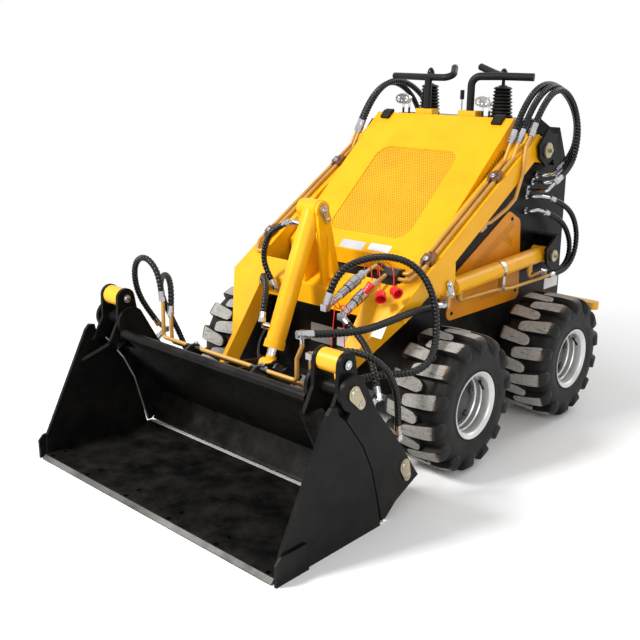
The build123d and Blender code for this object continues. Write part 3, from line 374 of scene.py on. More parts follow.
def patches(tree, coords, pattern, low, high, at_low=0.0, at_high=1.0):
    """Noise, given as its scale, detail and roughness, cut to a ramp between two of its levels."""
    return ramp(tree, noise(tree, coords, *pattern), low, high, at_low, at_high)


def axes(tree, vector):
    """A vector's three numbers."""
    made = node(tree, "ShaderNodeSeparateXYZ")
    tree.links.new(vector, made.inputs[0])
    return made.outputs


def along_line(tree, coords, start, axis):
    """Distance from a line, and distance along it."""
    rel = turns(tree, "SUBTRACT", coords, tuple(start.tolist()))
    away = turns(tree, "LENGTH", turns(tree, "CROSS_PRODUCT", rel, tuple(axis.tolist())))
    return away, turns(tree, "DOT_PRODUCT", rel, tuple(axis.tolist()))


def within(tree, value, low, high):
    """1 between two limits and 0 outside them."""
    return times(tree, sums(tree, "GREATER_THAN", value, low), sums(tree, "LESS_THAN", value, high))


# Where a second finish lies on a node: each function gives a mask from 0 to 1.

# Width of a mask's soft edge, in metres.
SOFT = 0.0004
# Height of a cell of the mesh of round holes, in pitches, and a shift that keeps its numbers above zero.
CELL, SHIFT = 1.732, 40.0


def near(point, radius):
    """Inside a ball round a place of the part's source."""
    centre = tuple(place(point).tolist())

    def mask(tree, coords):
        away = turns(tree, "DISTANCE", coords, centre)
        return ramp(tree, away, radius * MM, radius * MM + SOFT, 1.0, 0.0)

    return mask


def off_line(start, end, radius, low=-1e4, high=1e4):
    """Further than a radius from the line between two places, and between two distances along it."""
    a, b = place(start), place(end)

    def mask(tree, coords):
        away, reach = along_line(tree, coords, a, unit(b - a))
        share = ramp(tree, away, radius * MM, radius * MM + SOFT)
        return times(tree, share, within(tree, reach, low * MM, high * MM))

    return mask


def band(start, end, radius):
    """Inside a strip of the side cover, from one place (y, z) to another."""
    a, b = place((COVER_X, *start)), place((COVER_X, *end))

    def mask(tree, coords):
        away, reach = along_line(tree, coords, a, unit(b - a))
        inside = within(tree, reach, 0.0, float(np.linalg.norm(b - a)))
        return times(tree, inside, sums(tree, "LESS_THAN", away, radius * MM))

    return mask


def past(axis, limit, sign=1):
    """On one side of a plane across an axis, x y or z, in millimetres."""
    level = limit * MM + (FRAME_Y * MM if axis == 1 else 0.0)

    def mask(tree, coords):
        value = axes(tree, coords)[axis]
        return sums(tree, "GREATER_THAN" if sign > 0 else "LESS_THAN", value, level)

    return mask


def joined(how, masks):
    """Masks joined by one arithmetic step."""

    def mask(tree, coords):
        share = masks[0](tree, coords)
        for other in masks[1:]:
            share = sums(tree, how, share, other(tree, coords))
        return share

    return mask


def both(*masks):
    """Where all of several masks are."""
    return joined("MULTIPLY", masks)


def either(*masks):
    """Where any of several masks is."""
    return joined("MAXIMUM", masks)


def twins(x, y, z, radius):
    """Inside either of two balls that mirror each other."""
    return either(near((x, y, z), radius), near((-x, y, z), radius))


# The holes are not cut: the finish laid in them is painted shade.
def holes(across, up, inside):
    """Staggered round holes in a region: the nearer of two lattices of points, one moved by half a cell."""
    pitch, radius, soft = 0.0085, 0.0027, 0.05

    def centred(tree, axis, cell, move):
        """Distance from the middle of a cell along an axis, in cells."""
        cells = sums(tree, "DIVIDE", turns(tree, "DOT_PRODUCT", *axis), cell)
        return sums(tree, "SUBTRACT", sums(tree, "FRACT", sums(tree, "ADD", cells, move + SHIFT)), 0.5)

    def mask(tree, coords):
        far = []
        for move in (0.0, 0.5):
            u = centred(tree, (coords, across), pitch, move)
            v = times(tree, centred(tree, (coords, up), pitch * CELL, move), CELL)
            far.append(sums(tree, "SQRT", sums(tree, "ADD", times(tree, u, u), times(tree, v, v))))
        nearest = sums(tree, "MINIMUM", *far)
        share = ramp(tree, nearest, radius / pitch - soft, radius / pitch + soft, 1.0, 0.0)
        return times(tree, share, inside(tree, coords))

    return mask


# Finishes: colour, its darker shade, share of metal, roughness.
FINISHES = {
    "yellow": ((0.88, 0.43, 0.002), (0.82, 0.37, 0.0015), 0.0, 0.36),
    "orange": ((0.7, 0.26, 0.003), (0.6, 0.2, 0.002), 0.0, 0.42),
    "black": ((0.003, 0.003, 0.0032), (0.0055, 0.0053, 0.005), 0.0, 0.34),
    "grey": ((0.035, 0.037, 0.042), (0.02, 0.021, 0.024), 0.0, 0.5),
    "silver": ((0.72, 0.72, 0.71), (0.55, 0.55, 0.54), 0.75, 0.34),
    "zinc": ((0.56, 0.57, 0.6), (0.4, 0.41, 0.43), 1.0, 0.2),
    "brass": ((0.5, 0.44, 0.29), (0.34, 0.29, 0.18), 1.0, 0.3),
    "tan": ((0.6, 0.33, 0.07), (0.46, 0.23, 0.04), 0.25, 0.42),
    "chrome": ((0.82, 0.82, 0.84), (0.72, 0.72, 0.74), 1.0, 0.12),
    "edge": ((0.15, 0.145, 0.14), (0.045, 0.043, 0.04), 0.6, 0.48),
    "rubber": ((0.004, 0.004, 0.0045), (0.008, 0.008, 0.008), 0.0, 0.46),
    "gloss": ((0.003, 0.003, 0.0035), (0.006, 0.006, 0.006), 0.0, 0.22),
    "tyre": ((0.0055, 0.0055, 0.006), (0.01, 0.0098, 0.0095), 0.0, 0.5),
    "red": ((0.75, 0.006, 0.012), (0.55, 0.004, 0.01), 0.0, 0.3),
    "white": ((0.78, 0.78, 0.76), (0.66, 0.66, 0.63), 0.0, 0.4),
    # hole: darker orange painted in the holes of plates that are not cut, as painted shade inside them.
    "hole": ((0.34, 0.15, 0.003), (0.26, 0.11, 0.002), 0.0, 0.8),
    "bronze": ((0.3, 0.17, 0.09), (0.2, 0.1, 0.05), 1.0, 0.38),
    # pad: pale colour of the bucket's seams, painted light seen through their gap.
    "pad": ((0.46, 0.45, 0.43), (0.3, 0.29, 0.27), 0.0, 0.7),
    "glass": ((0.3, 0.31, 0.33), (0.1, 0.1, 0.11), 0.3, 0.16),
}


# Noises of a finish, each as scale, detail and roughness: colour drift, chips, dust in clouds, smears.
DRIFT, FLAWS, CLOUDS, SMEARS = (7.0, 4.0, 0.6), (60.0, 5.0, 0.7), (11.0, 7.0, 0.68), (28.0, 4.0, 0.6)
DUST_COLOUR, CHIP_COLOUR = (0.33, 0.28, 0.22), (0.16, 0.15, 0.14)


def finish(name, base, over=(), dust=0.2, low_dirt=0.25, chips=0.0, grain=420.0, bump=0.1, coat=0.0,
           extra=None, gloss=0.5):
    """One material: a base finish and others laid over it by masks, then slow colour drift, stains, small
    chips, dust on tops and dirt near the ground, and a fine grain in the surface."""
    made = bpy.data.materials.new(name)
    made.use_nodes = True
    tree = made.node_tree
    shader = tree.nodes["Principled BSDF"]
    coords = node(tree, "ShaderNodeTexCoord").outputs["Object"]
    drift = patches(tree, coords, DRIFT, 0.38, 0.72)
    colour, shade, metal, rough = FINISHES[base]
    colour = tint(tree, drift, colour, shade)
    for mask, kind in over:
        share = mask(tree, coords)
        top, low, top_metal, top_rough = FINISHES[kind]
        colour = tint(tree, share, colour, tint(tree, drift, top, low))
        if top_metal != metal or not isinstance(metal, float):
            metal = between(tree, share, metal, top_metal)
        rough = between(tree, share, rough, top_rough)
    if extra:
        colour, rough = extra(tree, coords, colour, rough)
    if chips:
        flaw = patches(tree, coords, FLAWS, 0.73 - 0.1 * chips, 0.75 - 0.1 * chips)
        colour = tint(tree, flaw, colour, CHIP_COLOUR)
    # Dust lies on faces that look up, and dirt up to 0.7 m above the ground.
    normal = node(tree, "ShaderNodeNewGeometry").outputs["Normal"]
    tops = ramp(tree, axes(tree, normal)[2], 0.25, 0.95, 0.0, dust)
    low = ramp(tree, axes(tree, coords)[2], 0.7, 0.03, 0.0, low_dirt)
    cover = times(tree, sums(tree, "ADD", tops, low), patches(tree, coords, CLOUDS, 0.4, 0.78))
    feed(tree, shader.inputs["Base Color"], tint(tree, cover, colour, DUST_COLOUR))
    feed(tree, shader.inputs["Metallic"], metal)
    rough = sums(tree, "ADD", rough, patches(tree, coords, SMEARS, 0.35, 0.75, -0.05, 0.08))
    feed(tree, shader.inputs["Roughness"], sums(tree, "ADD", rough, times(tree, cover, 0.5)))
    shader.inputs["Specular IOR Level"].default_value = gloss
    if coat:
        shader.inputs["Coat Weight"].default_value = coat
        shader.inputs["Coat Roughness"].default_value = 0.15
    height = node(tree, "ShaderNodeBump", in_Strength=bump, in_Distance=0.0006)
    tree.links.new(noise(tree, coords, grain, 3.0), height.inputs["Height"])
    tree.links.new(height.outputs["Normal"], shader.inputs["Normal"])
    return made


# Places that several finishes and pieces share, as in the part's source.
DECK_Z, COVER_X = 1088.0, 307.0
HOOD_TOP, HOOD_LOW = (202.0, DECK_Z + 7), (-300.0, 652.0)
ARM_PIVOT, LIFT_BASE, LIFT_FRONT = (285.0, 987.0), (395.0, 588.0), (-270.0, 560.0)
TILT_TOP, TILT_LOW = (-510.0, 820.0), (-717.0, 327.0)
JAW_PIVOT, JAW_ROD_PIN, JAW_BASE_PIN = (-944.0, 441.0), (-949.0, 518.0), (-708.0, 153.0)
JAW_X, LIFT_X = 485.0, 349.0
LAMP_X, LAMP_Z = 180, DECK_Z + 61
TYRE_X, TYRE_R, WHEEL_Y = 446.0, 228.5, 326.0
slope_y, slope_z = unit((HOOD_TOP[0] - HOOD_LOW[0], HOOD_TOP[1] - HOOD_LOW[1]))

# Tower hoses on one side: length in metres, distance from the middle, then the route as y and z.
TOWER_ROUTES = {
    "inner": (0.770, 343, (
        (152, 1059), (205, 1150), (330, 1222), (480, 1195), (600, 1105), (618, 1010), (585, 945), (525, 915),
    )),
    "middle": (0.727, 366, (
        (168, 1062), (222, 1150), (345, 1216), (470, 1180), (560, 1090), (575, 995), (540, 925), (478, 893),
    )),
    "outer": (0.659, 390, (
        (205, 1082), (262, 1162), (370, 1205), (478, 1150), (535, 1055), (530, 965), (485, 905), (425, 880),
    )),
}
# Hoses: diameter, length in metres, body at the start, body at the end, then the route between the fittings.
# The right side has no outer tower hose.
HOSES = {
    f"tower_hose_{label}_{kind}": (18, length, "lift_arms", "chassis", tuple((side * x, *at) for at in route))
    for side, label in SIDES
    for kind, (length, x, route) in TOWER_ROUTES.items()
    if (label, kind) != ("right", "outer")
}
HOSES |= {
    "lift_hose_left_upper": (16, 0.487, "chassis", "lift_barrel_l", (
        (364, 440, 790), (370, 505, 768), (377, 575, 722), (382, 612, 655), (382, 618, 592),
        (380, 600, 542), (377, 562, 511), (374, 514, 500), (372, 466, 500),
    )),
    "lift_hose_left_lower": (16, 0.485, "chassis", "lift_barrel_l", (
        (347, 432, 738), (349, 500, 715), (350, 566, 678), (351, 612, 626), (351, 629, 578),
        (350, 622, 536), (349, 592, 508), (347, 548, 499), (344, 500, 502), (342, 455, 507),
    )),
    "tilt_hose_upper": (16, 0.265, "tilt_barrel", "lift_arms", (
        (-74, -571, 765), (-122, -568, 745), (-163, -562, 705), (-186, -556, 652),
        (-184, -550, 600), (-158, -545, 560),
    )),
    "tilt_hose_lower": (16, 0.256, "lift_arms", "tilt_barrel", (
        (-196, -552, 560), (-168, -576, 583), (-120, -612, 582), (-76, -650, 564),
        (-48, -684, 538), (-38, -702, 500),
    )),
    "coupler_hose_over": (18, 1.029, "lift_arms", "bucket_back", (
        (217, -664, 604), (224, -650, 650), (250, -611, 691), (296, -543, 712), (350, -480, 702),
        (394, -445, 664), (422, -428, 612), (436, -414, 545), (454, -430, 470), (486, -490, 415),
        (480, -555, 387), (452, -608, 384), (425, -668, 392), (405, -738, 392), (396, -806, 382),
        (394, -862, 372),
    )),
    "bucket_supply_hose": (18, 0.525, "bucket_back", "lift_arms", (
        (343, -878, 546), (372, -799, 536), (396, -700, 531), (404, -585, 540), (405, -470, 547),
        (401, -362, 537),
    )),
    "jaw_hose_left_upper": (16, 0.264, "lift_arms", "bucket_back", (
        (284, -655, 516), (332, -662, 490), (382, -684, 468), (430, -718, 447), (466, -748, 422),
        (482, -758, 392),
    )),
    "jaw_hose_left_lower": (16, 0.431, "bucket_back", "jaw_barrel_l", (
        (376, -873, 494), (408, -848, 503), (442, -823, 505), (478, -799, 495), (504, -768, 468),
        (508, -728, 425), (501, -690, 365), (490, -663, 300), (485, -655, 246),
    )),
    "jaw_hose_right_upper": (16, 0.452, "bucket_back", "jaw_barrel_r", (
        (-306, -903, 560), (-311, -905, 602), (-332, -908, 640), (-368, -909, 660),
        (-407, -908, 655), (-438, -905, 628), (-458, -896, 584), (-472, -878, 530),
        (-482, -845, 470), (-485, -802, 412),
    )),
    "jaw_hose_right_lower": (16, 0.570, "bucket_back", "jaw_barrel_r", (
        (-290, -878, 508), (-293, -872, 552), (-318, -858, 588), (-362, -840, 596),
        (-412, -820, 572), (-452, -796, 522), (-476, -762, 460), (-486, -722, 390),
        (-488, -684, 318), (-485, -660, 250),
    )),
}


def sleeve(name, index):
    """The crimped sleeve and nuts at one end of a hose."""
    diameter, points = HOSES[name][0], HOSES[name][4]
    point = np.array(points[index], float)
    away = unit(point - points[1 if index == 0 else -2])
    reach, radius = (25.0, 28.6) if diameter > 17 else (17.0, 21.2)
    return near(point + away * reach, radius)


def sleeves(*ends):
    """The sleeves at several ends of hoses."""
    return either(*[sleeve(name, index) for name, index in ends])


def lift_rows(side):
    """Zinc band and tan pipe of a lift cylinder's barrel, and the sleeves of its hoses."""
    line = (side * LIFT_X, *LIFT_BASE), (side * LIFT_X, *LIFT_FRONT)
    pipe = either(both(past(1, 300), past(2, 553, -1)), off_line(*line, 33.6, 50, 900))
    rows = [(pipe, "tan"), (off_line(*line, 31.2, 292, 314), "zinc")]
    if side > 0:
        rows.append((sleeves(("lift_hose_left_upper", -1), ("lift_hose_left_lower", -1)), "zinc"))
    return rows


def jaw_rows(side, rod):
    """Zinc pipes and ports of a jaw cylinder's barrel, or the yellow eye of its rod."""
    line = (side * JAW_X, *JAW_BASE_PIN), (side * JAW_X, *JAW_ROD_PIN)
    if rod:
        return [(either(off_line(*line, 12.6), off_line(*line, -1, 402)), "yellow")]
    return [(either(off_line(*line, 28.8, 30, 900), off_line(*line, 46, -80, 80)), "zinc")]


slope = (0.0, float(slope_y), float(slope_z))
ARM_SLEEVES = [(name, 0) for name in HOSES if name.startswith("tower")]
ARM_SLEEVES += [("bucket_supply_hose", -1), ("tilt_hose_upper", -1), ("tilt_hose_lower", 0)]
PANEL_SLEEVES = [
    (name, -1 if name.startswith("tower") else 0)
    for name in HOSES
    if "left" in name and name[:5] in ("tower", "lift_")
]
BUCKET_SLEEVES = [("bucket_supply_hose", 0), ("jaw_hose_left_lower", 0), ("jaw_hose_right_upper", 0)]
BUCKET_SLEEVES += [("jaw_hose_right_lower", 0), ("coupler_hose_over", -1)]
pipe_sleeves = either(sleeves(*BUCKET_SLEEVES), near((329, -912, 548), 18), near((351, -896, 488), 17))
arm_clamps = either(*[near((side * 355, y, z), 33) for side in (1, -1) for y, z in ((17, 909), (-352, 681))])
pin_locks = [
    (both(near((side * 50, -500, 800), 50), past(0, side * 46.2, side)), "zinc") for side in (1, -1)
]
cover_holes = either(
    band((253, 718), (-8, 583), 17), band((181, 679), (250, 645), 14), band((49, 473), (186, 475), 12)
)

# Dirt and shine of nodes that share them.
PAINT = dict(coat=0.1, dust=0.06, low_dirt=0.1, gloss=0.22)
BLADE = dict(dust=0.07, low_dirt=0.05, chips=0.1, gloss=0.1)
CLEAN = dict(dust=0.05, low_dirt=0.05)
# Finish of each node that stays in view: base finish, masks with the finish laid over it, dirt and shine.
NODE_FINISH = {
    "chassis_frame": ("black", (), dict(dust=0.05, low_dirt=0.1, gloss=0.1)),
    "hood": ("yellow", (), dict(coat=0.08, dust=0.04, gloss=0.2)),
    # The holes of the grille and side covers get the darker hole finish: painted shade on plain plates.
    "hood_grilles": (
        "yellow", [(holes((1.0, 0.0, 0.0), slope, past(0, -303.2)), "hole")], dict(dust=0.05, gloss=0.3),
    ),
    "side_covers": (
        "orange", [(holes(slope, (0.0, -slope[2], slope[1]), cover_holes), "hole")],
        dict(coat=0.1, dust=0.08, low_dirt=0.12, gloss=0.3),
    ),
    "console_deck": ("black", [(past(2, DECK_Z + 1), "yellow")], {}),
    "engine_block": ("grey", (), {}),
    "handlebars": (
        "rubber", [(near((20, 300, DECK_Z + 31), 33), "zinc")],
        dict(dust=0.05, low_dirt=0.0, grain=700.0, bump=0.2, gloss=0.2),
    ),
    "work_lamps": (
        "black", [(twins(LAMP_X, 200, LAMP_Z, 38), "chrome")], dict(dust=0.02, low_dirt=0.0, gloss=0.2),
    ),
    "hood_latches": ("rubber", (), dict(dust=0.05, gloss=0.2)),
    "rear_guard": ("yellow", (), dict(dust=0.3)),
    "axle_hubs": ("black", (), dict(gloss=0.1)),
    "cross_member": ("yellow", pin_locks, PAINT),
    "arm_pipes": ("tan", [(sleeves(*ARM_SLEEVES), "zinc"), (arm_clamps, "bronze")], dict(dust=0.15)),
    "panel_fittings": ("tan", [(either(past(1, 402, -1), sleeves(*PANEL_SLEEVES)), "zinc")], dict(dust=0.05)),
    "bucket_pipes": ("tan", [(pipe_sleeves, "zinc"), (twins(150, -905, 385, 40), "black")], dict(dust=0.15)),
    "quick_couplers": ("zinc", [(past(1, -486.5), "tan"), (past(1, -456), "black")], dict(dust=0.05)),
    "tilt_barrel": ("yellow", [(off_line((0, *TILT_TOP), (0, *TILT_LOW), 35.7, 38, 478), "zinc")], PAINT),
    "tilt_rod": ("chrome", [(near((0, *TILT_LOW), 40), "yellow")], CLEAN),
    "bucket_blade": ("black", [(twins(46, *TILT_LOW, 21), "zinc")], BLADE),
    "bucket_pins": ("brass", (), {}),
    "jaw_shell": ("black", (), dict(dust=0.03, low_dirt=0.03, gloss=0.1)),
    "cutting_edge": (
        "black", [(past(1, -1230, -1), "edge")], dict(dust=0.03, low_dirt=0.03, chips=0.1, gloss=0.1),
    ),
    "jaw_ears": ("black", (), BLADE),
}
for side, label in SIDES:
    NODE_FINISH |= {
        "tower_" + label: ("black", [(past(0, side * 402.3, side), "brass")], CLEAN | dict(gloss=0.1)),
        "lift_arm_" + label: ("yellow", [(past(0, side * 384.4, side), "brass")], PAINT),
        "lift_barrel_" + label: ("yellow", lift_rows(side), PAINT),
        "lift_rod_" + label: ("chrome", [(near((side * LIFT_X, *LIFT_FRONT), 34), "yellow")], CLEAN),
        "jaw_barrel_" + label: ("yellow", jaw_rows(side, False), dict(coat=0.2)),
        "jaw_rod_" + label: ("chrome", jaw_rows(side, True), dict(dust=0.05)),
    }
for name, (base, over, how) in NODE_FINISH.items():
    made = finish("finish_" + name, base, over, **how)
    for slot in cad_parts[name].material_slots:
        slot.material = made

PLAIN = {
    kind: finish("plain_" + kind, kind, dust=dust, low_dirt=low, gloss=gloss)
    for kind, dust, low, gloss in (
        ("zinc", 0.03, 0.05, 0.5), ("brass", 0.1, 0.1, 0.5), ("red", 0.05, 0.05, 0.5),
        ("white", 0.03, 0.08, 0.5), ("silver", 0.05, 0.12, 0.5), ("grey", 0.1, 0.2, 0.5),
        ("chrome", 0.02, 0.02, 0.5), ("gloss", 0.08, 0.1, 0.2), ("rubber", 0.1, 0.1, 0.2),
        ("black", 0.08, 0.1, 0.2),
    )
}


# Hoses in their spiral wraps

# A wrapped hose is thicker than the bare hose.
WRAP = 1.22


def make_hoses():
    """The hoses, each in its spiral wrap in place of the part's hose."""
    wrap = finish("hose_wrap", "gloss", dust=0.03, low_dirt=0.06, grain=900.0, bump=0.05, gloss=0.3)
    for name, (diameter, length, first, last, route) in HOSES.items():
        wide = diameter * MM * WRAP
        line = route_line(name + "_line", place(route))
        piece = build(name + "_wrap", [wrapped(line, wide / 2)], wrap, sharp=60.0)
        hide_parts(name)
        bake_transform(piece)


# Wheels

LUG_COUNT = 14
# Lug seen along its length, from its round inner end out over the shoulder and down the wall:
# x and radius of its top, x and radius of its foot, place round the tyre, half width.
LUG_ROWS = np.array([
    (-30, 206, -31, 204, 0, 8),
    (-29, 226.5, -29.5, 206, 0, 9.5),
    (-26, 228.4, -26.5, 206, 0.2, 13.5),
    (-18, 228.5, -18, 206, 1, 18.5),
    (-2, 228.5, -2, 206, 3, 20.5),
    (30, 228.3, 30, 206, 6.6, 21.5),
    (55, 227.4, 55, 205.5, 9.6, 23),
    (76, 225.4, 76, 203.5, 12.6, 24),
    (90, 221.5, 88, 199.5, 14.5, 24),
    (99, 214.5, 94, 194, 16, 23.5),
    (105, 204.5, 98, 187, 17, 22),
    (107.6, 193.5, 100, 180, 17.6, 19.5),
    (107.9, 183, 101, 173, 18, 16.5),
    (106, 173.5, 101.5, 167, 18.2, 13),
    (103, 169, 101, 164, 18.2, 11),
])
# Across a lug: share of the half width, share of the height.
LUG_COLS = np.array([
    (-1.16, 0), (-1.03, 0.86), (-0.93, 1), (-0.4, 1), (0.4, 1), (0.93, 1), (1.03, 0.86), (1.16, 0),
])
# Radius at which the places and widths of the lugs are measured.
LUG_RADIUS = 214.0
# Outline of the tyre's body from its left bead over the crown, x and radius; the right half mirrors it.
BODY_HALF = np.array([
    (88, 96.6), (94.5, 97.2), (97.2, 104), (96.4, 111), (98.6, 116.5), (101.6, 118), (102.4, 122),
    (101.2, 125.5), (102, 129), (103.8, 140), (104.6, 152), (104.2, 164), (102.4, 175), (99, 186),
    (93, 195.5), (84, 201.5), (66, 204.6), (40, 206), (14, 206.5),
])
# Outline of the rim: its left flange, x and radius, which the right half mirrors, then its inside.
FLANGE = np.array([
    (101.8, 108.5), (101.8, 111.8), (99, 112), (97.6, 110), (97.4, 103), (96.2, 98.4), (93, 96),
    (70, 96),
])
RIM_INSIDE = np.array([
    (-99.6, 106), (-98, 98), (-94, 93), (-60, 91), (16, 88), (30, 84), (42, 85),
    (46, 88.5), (62, 89.5), (66, 92.2), (84, 92.8), (92, 94.6), (97, 99.5), (99, 105.5),
])
# Wheel's disc, nut and valve: distance along the axis and radius.
DISC = ((-2, 0), (-2, 86), (6, 87.6), (8, 80), (12, 62), (12, 50), (18, 46), (20, 30), (19, 0))
NUT = ((0, 11), (9.84, 11), (12, 9.46), (12, 0))
VALVE = ((0, 5.5), (6, 5.0), (12, 3.4), (24, 3.2), (25, 4.2), (36, 4.2), (37, 0))
NUT_COUNT = 5


def lug_shells(centre, side, offset):
    """All lugs of one shoulder: point = foot + height share * (top - foot), turned round the axle."""
    rows, cols = LUG_ROWS[:, None], LUG_COLS[None]
    level = cols[..., 1]
    x = rows[..., 2] + level * (rows[..., 0] - rows[..., 2])
    r = rows[..., 3] + level * (rows[..., 1] - rows[..., 3])
    around = (rows[..., 4] + cols[..., 0] * rows[..., 5]) / LUG_RADIUS
    # The tops are worn from a radius of 213 mm outwards.
    worn = np.clip((r - 213.0) / 12.0, 0, 1) * (level > 0.95)
    shells = []
    for step in range(LUG_COUNT):
        turn = around + math.radians(360.0 / LUG_COUNT * step + offset)
        grid = np.stack([side * x, r * np.sin(turn), r * np.cos(turn)], -1)
        middle = np.array([side * 60.0, 190.0 * math.sin(turn.mean()), 190.0 * math.cos(turn.mean())])
        shells.append(shell(centre + grid * MM, rim=centre + middle * MM))
    return shells, [np.r_[worn.ravel(), 0.0]] * LUG_COUNT


def round_body(outline, centre, steps):
    """Closed outline turned about an axle: point = centre + (x, radius * sin a, radius * cos a)."""
    angle = circle(steps)
    x, radius = outline[:, :1], outline[:, 1:]
    grid = np.stack([x * np.ones_like(angle), radius * np.sin(angle), radius * np.cos(angle)], -1)
    return ring(centre + grid * MM)


def tyre_extra(tree, coords, colour, rough):
    """Grey road dust on the worn tops of the lugs, thin brown clay at their edges and faint cracks of clean
    rubber."""
    worn = node(tree, "ShaderNodeAttribute", attribute_name="dust").outputs["Fac"]
    speck = noise(tree, coords, 90.0, 6.0, 0.7)
    lines = noise(tree, coords, 46.0, 3.0, 0.5, (0.6, 3.0, 3.0))
    share = ramp(tree, sums(tree, "ADD", worn, times(tree, speck, 0.35)), 0.92, 1.02)
    share = times(tree, share, ramp(tree, lines, 0.3, 0.42, 0.45, 1.0))
    pale = tint(tree, ramp(tree, speck, 0.35, 0.7), (0.4, 0.385, 0.36), (0.25, 0.24, 0.225))
    clay = times(tree, ramp(tree, worn, 0.3, 0.8), ramp(tree, worn, 0.99, 0.88))
    clay = times(tree, clay, patches(tree, coords, (17.0, 4.0, 0.6), 0.45, 0.6), 0.45)
    colour = tint(tree, clay, tint(tree, share, colour, pale), (0.24, 0.13, 0.065))
    return colour, between(tree, share, rough, 0.9)


def make_wheels():
    """Tyres with their lugs, rims, discs, nuts and valves."""
    rubber = finish(
        "tyre_rubber", "tyre", dust=0.08, low_dirt=0.06, grain=260.0, bump=0.2, extra=tyre_extra, gloss=0.18
    )
    body_outline = np.vstack([BODY_HALF, BODY_HALF[::-1] * (-1, 1)])
    rim_outline = np.vstack([FLANGE, FLANGE[::-1] * (-1, 1), RIM_INSIDE])
    for row, side, label in [(row, *side) for row in ("front", "rear") for side in SIDES]:
        name = row + "_" + label
        hub = np.array([side * TYRE_X, -WHEEL_Y if row == "front" else WHEEL_Y, TYRE_R])
        centre, axis, wheel = place(hub), (side, 0, 0), "wheel_" + name
        body = round_body(body_outline, centre, 120)
        near_lugs, near_marks = lug_shells(centre, side, 0.0)
        far_lugs, far_marks = lug_shells(centre, -side, 180.0 / LUG_COUNT)
        marks = [np.zeros(len(body[0])), *near_marks, *far_marks]
        tyre = build("lugged_tyre_" + name, [body, *near_lugs, *far_lugs], rubber, wheel, 42.0, marks)
        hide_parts("tyre_" + name)
        barrel = round_body(rim_outline * (side, 1), centre, 96)
        rim = build("rim_barrel_" + name, [barrel], PLAIN["silver"], wheel, 28.0)
        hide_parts("rim_" + name)
        disc = lathe(DISC, hub + (side * 24, 0, 0), axis, 64)
        nuts = []
        for turn in circle(NUT_COUNT) + math.radians(18):
            nuts.append(lathe(NUT, hub + (side * 34, 66 * math.cos(turn), 66 * math.sin(turn)), axis, 6))
        valve = lathe(VALVE, hub + (side * 66, 70, 56), (side * 0.75, -0.5, -0.43), 14)
        build("rim_disc_" + name, [disc], PLAIN["grey"], wheel, 28.0)
        build("wheel_nuts_" + name, nuts, PLAIN["grey"], wheel, 25.0)
        build("valve_" + name, [valve], PLAIN["rubber"], wheel, 30.0)


# Console: rubber bellows with their levers, and the lamps

# Joystick's boot and knob: distance upwards and radius.
RIBS, BOOT_HEIGHT = 9, 112.0
KNOB = ((0, 6), (1, 9.5), (5, 13), (12, 15), (20, 14.2), (27, 12.2), (33, 8.8), (37, 4.5), (38, 0))


def make_console():
    """Joysticks on their bellows. The bellows' radius shrinks with height, and swings out and in once for
    each rib: radius = 35 - 9 t + 8 swing ** 0.7, with swing = (1 + cos(turn * ribs * t - pi)) / 2."""
    t = np.linspace(0, 1, RIBS * 8 + 1)
    swing = 0.5 + 0.5 * np.cos(2 * np.pi * RIBS * t - np.pi)
    bellow = np.stack([BOOT_HEIGHT * t, 35.0 - 9.0 * t + 8.0 * swing**0.7], -1)
    foot = np.array([(-0.5, 42.5), (3.0, 42.5), (4.0, 39.0)])
    collar = np.array([(1, 17.0), (5, 14.0), (6, 6.5), (28, 6.0)]) + (BOOT_HEIGHT, 0)
    # The boot's first half rib is inside its foot.
    boot_profile = np.vstack([foot, bellow[4:], collar])
    for side, label in SIDES:
        at = (side * 165, 350, DECK_Z)
        boot = lathe(boot_profile, at, (0, 0, 1), 48)
        piece = build("joystick_boot_" + label, [boot], PLAIN["rubber"], "chassis", 50.0)
        knob = lathe(np.array(KNOB) + (BOOT_HEIGHT + 28, 0), at, (0, 0, 1), 36)
        build("joystick_knob_" + label, [knob], PLAIN["gloss"], "chassis", 50.0)
        if side > 0:
            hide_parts("joystick_bellows")


def make_lamps():
    """Oval lamps: chrome bowls in a row behind a ribbed lens, inside a rolled rim. The lens bulges by a
    cosine of the distance from its middle."""
    glass = finish("lamp_lens", "glass", dust=0.0, low_dirt=0.0, chips=1.5, grain=110.0, bump=1.0, gloss=0.3)
    angle = circle(56)
    share = np.array([1.0, 0.985, 0.9, 0.75, 0.55, 0.3, 0.08])[:, None]
    bulge = -0.3 - 1.1 * np.cos(share * np.pi / 2) * np.ones_like(angle)
    face = np.stack([33.2 * share * np.cos(angle), bulge, 18.4 * share * np.sin(angle)], -1)
    back = face[:1] * (0.98, 1, 0.98) + (0, 1.5, 0)
    bowl = ((0.0, 7.2), (-0.25, 7.8), (0.0, 8.4), (0.3, 8.6), (0.3, 0))
    for side, label in SIDES:
        x, y, z = side * LAMP_X, 192, LAMP_Z
        rim = [hoop((x, y + 0.2, z), (1, 0, 0), (0, 0, 1), (34.5, 19.5), (1.5, 2.0), (56, 10))]
        rim += [lathe(bowl, (x + 17.5 * step, y - 1.1, z), (0, 1, 0), 28) for step in (-1, 0, 1)]
        build("lamp_rim_" + label, rim, PLAIN["chrome"], "chassis", 40.0)
        lens = tube(place((x, y, z)) + np.vstack([back, face]) * MM)
        build("lamp_lens_" + label, [lens], glass, "chassis", 40.0)


# Quick couplers with their dust caps

# Couplers: x, side of the plane between the two, then y and z of the front and rear ends.
COUPLERS = ((215, -1, (-640, 576), (-485, 645)), (255, 1, (-650, 538), (-482, 619)))
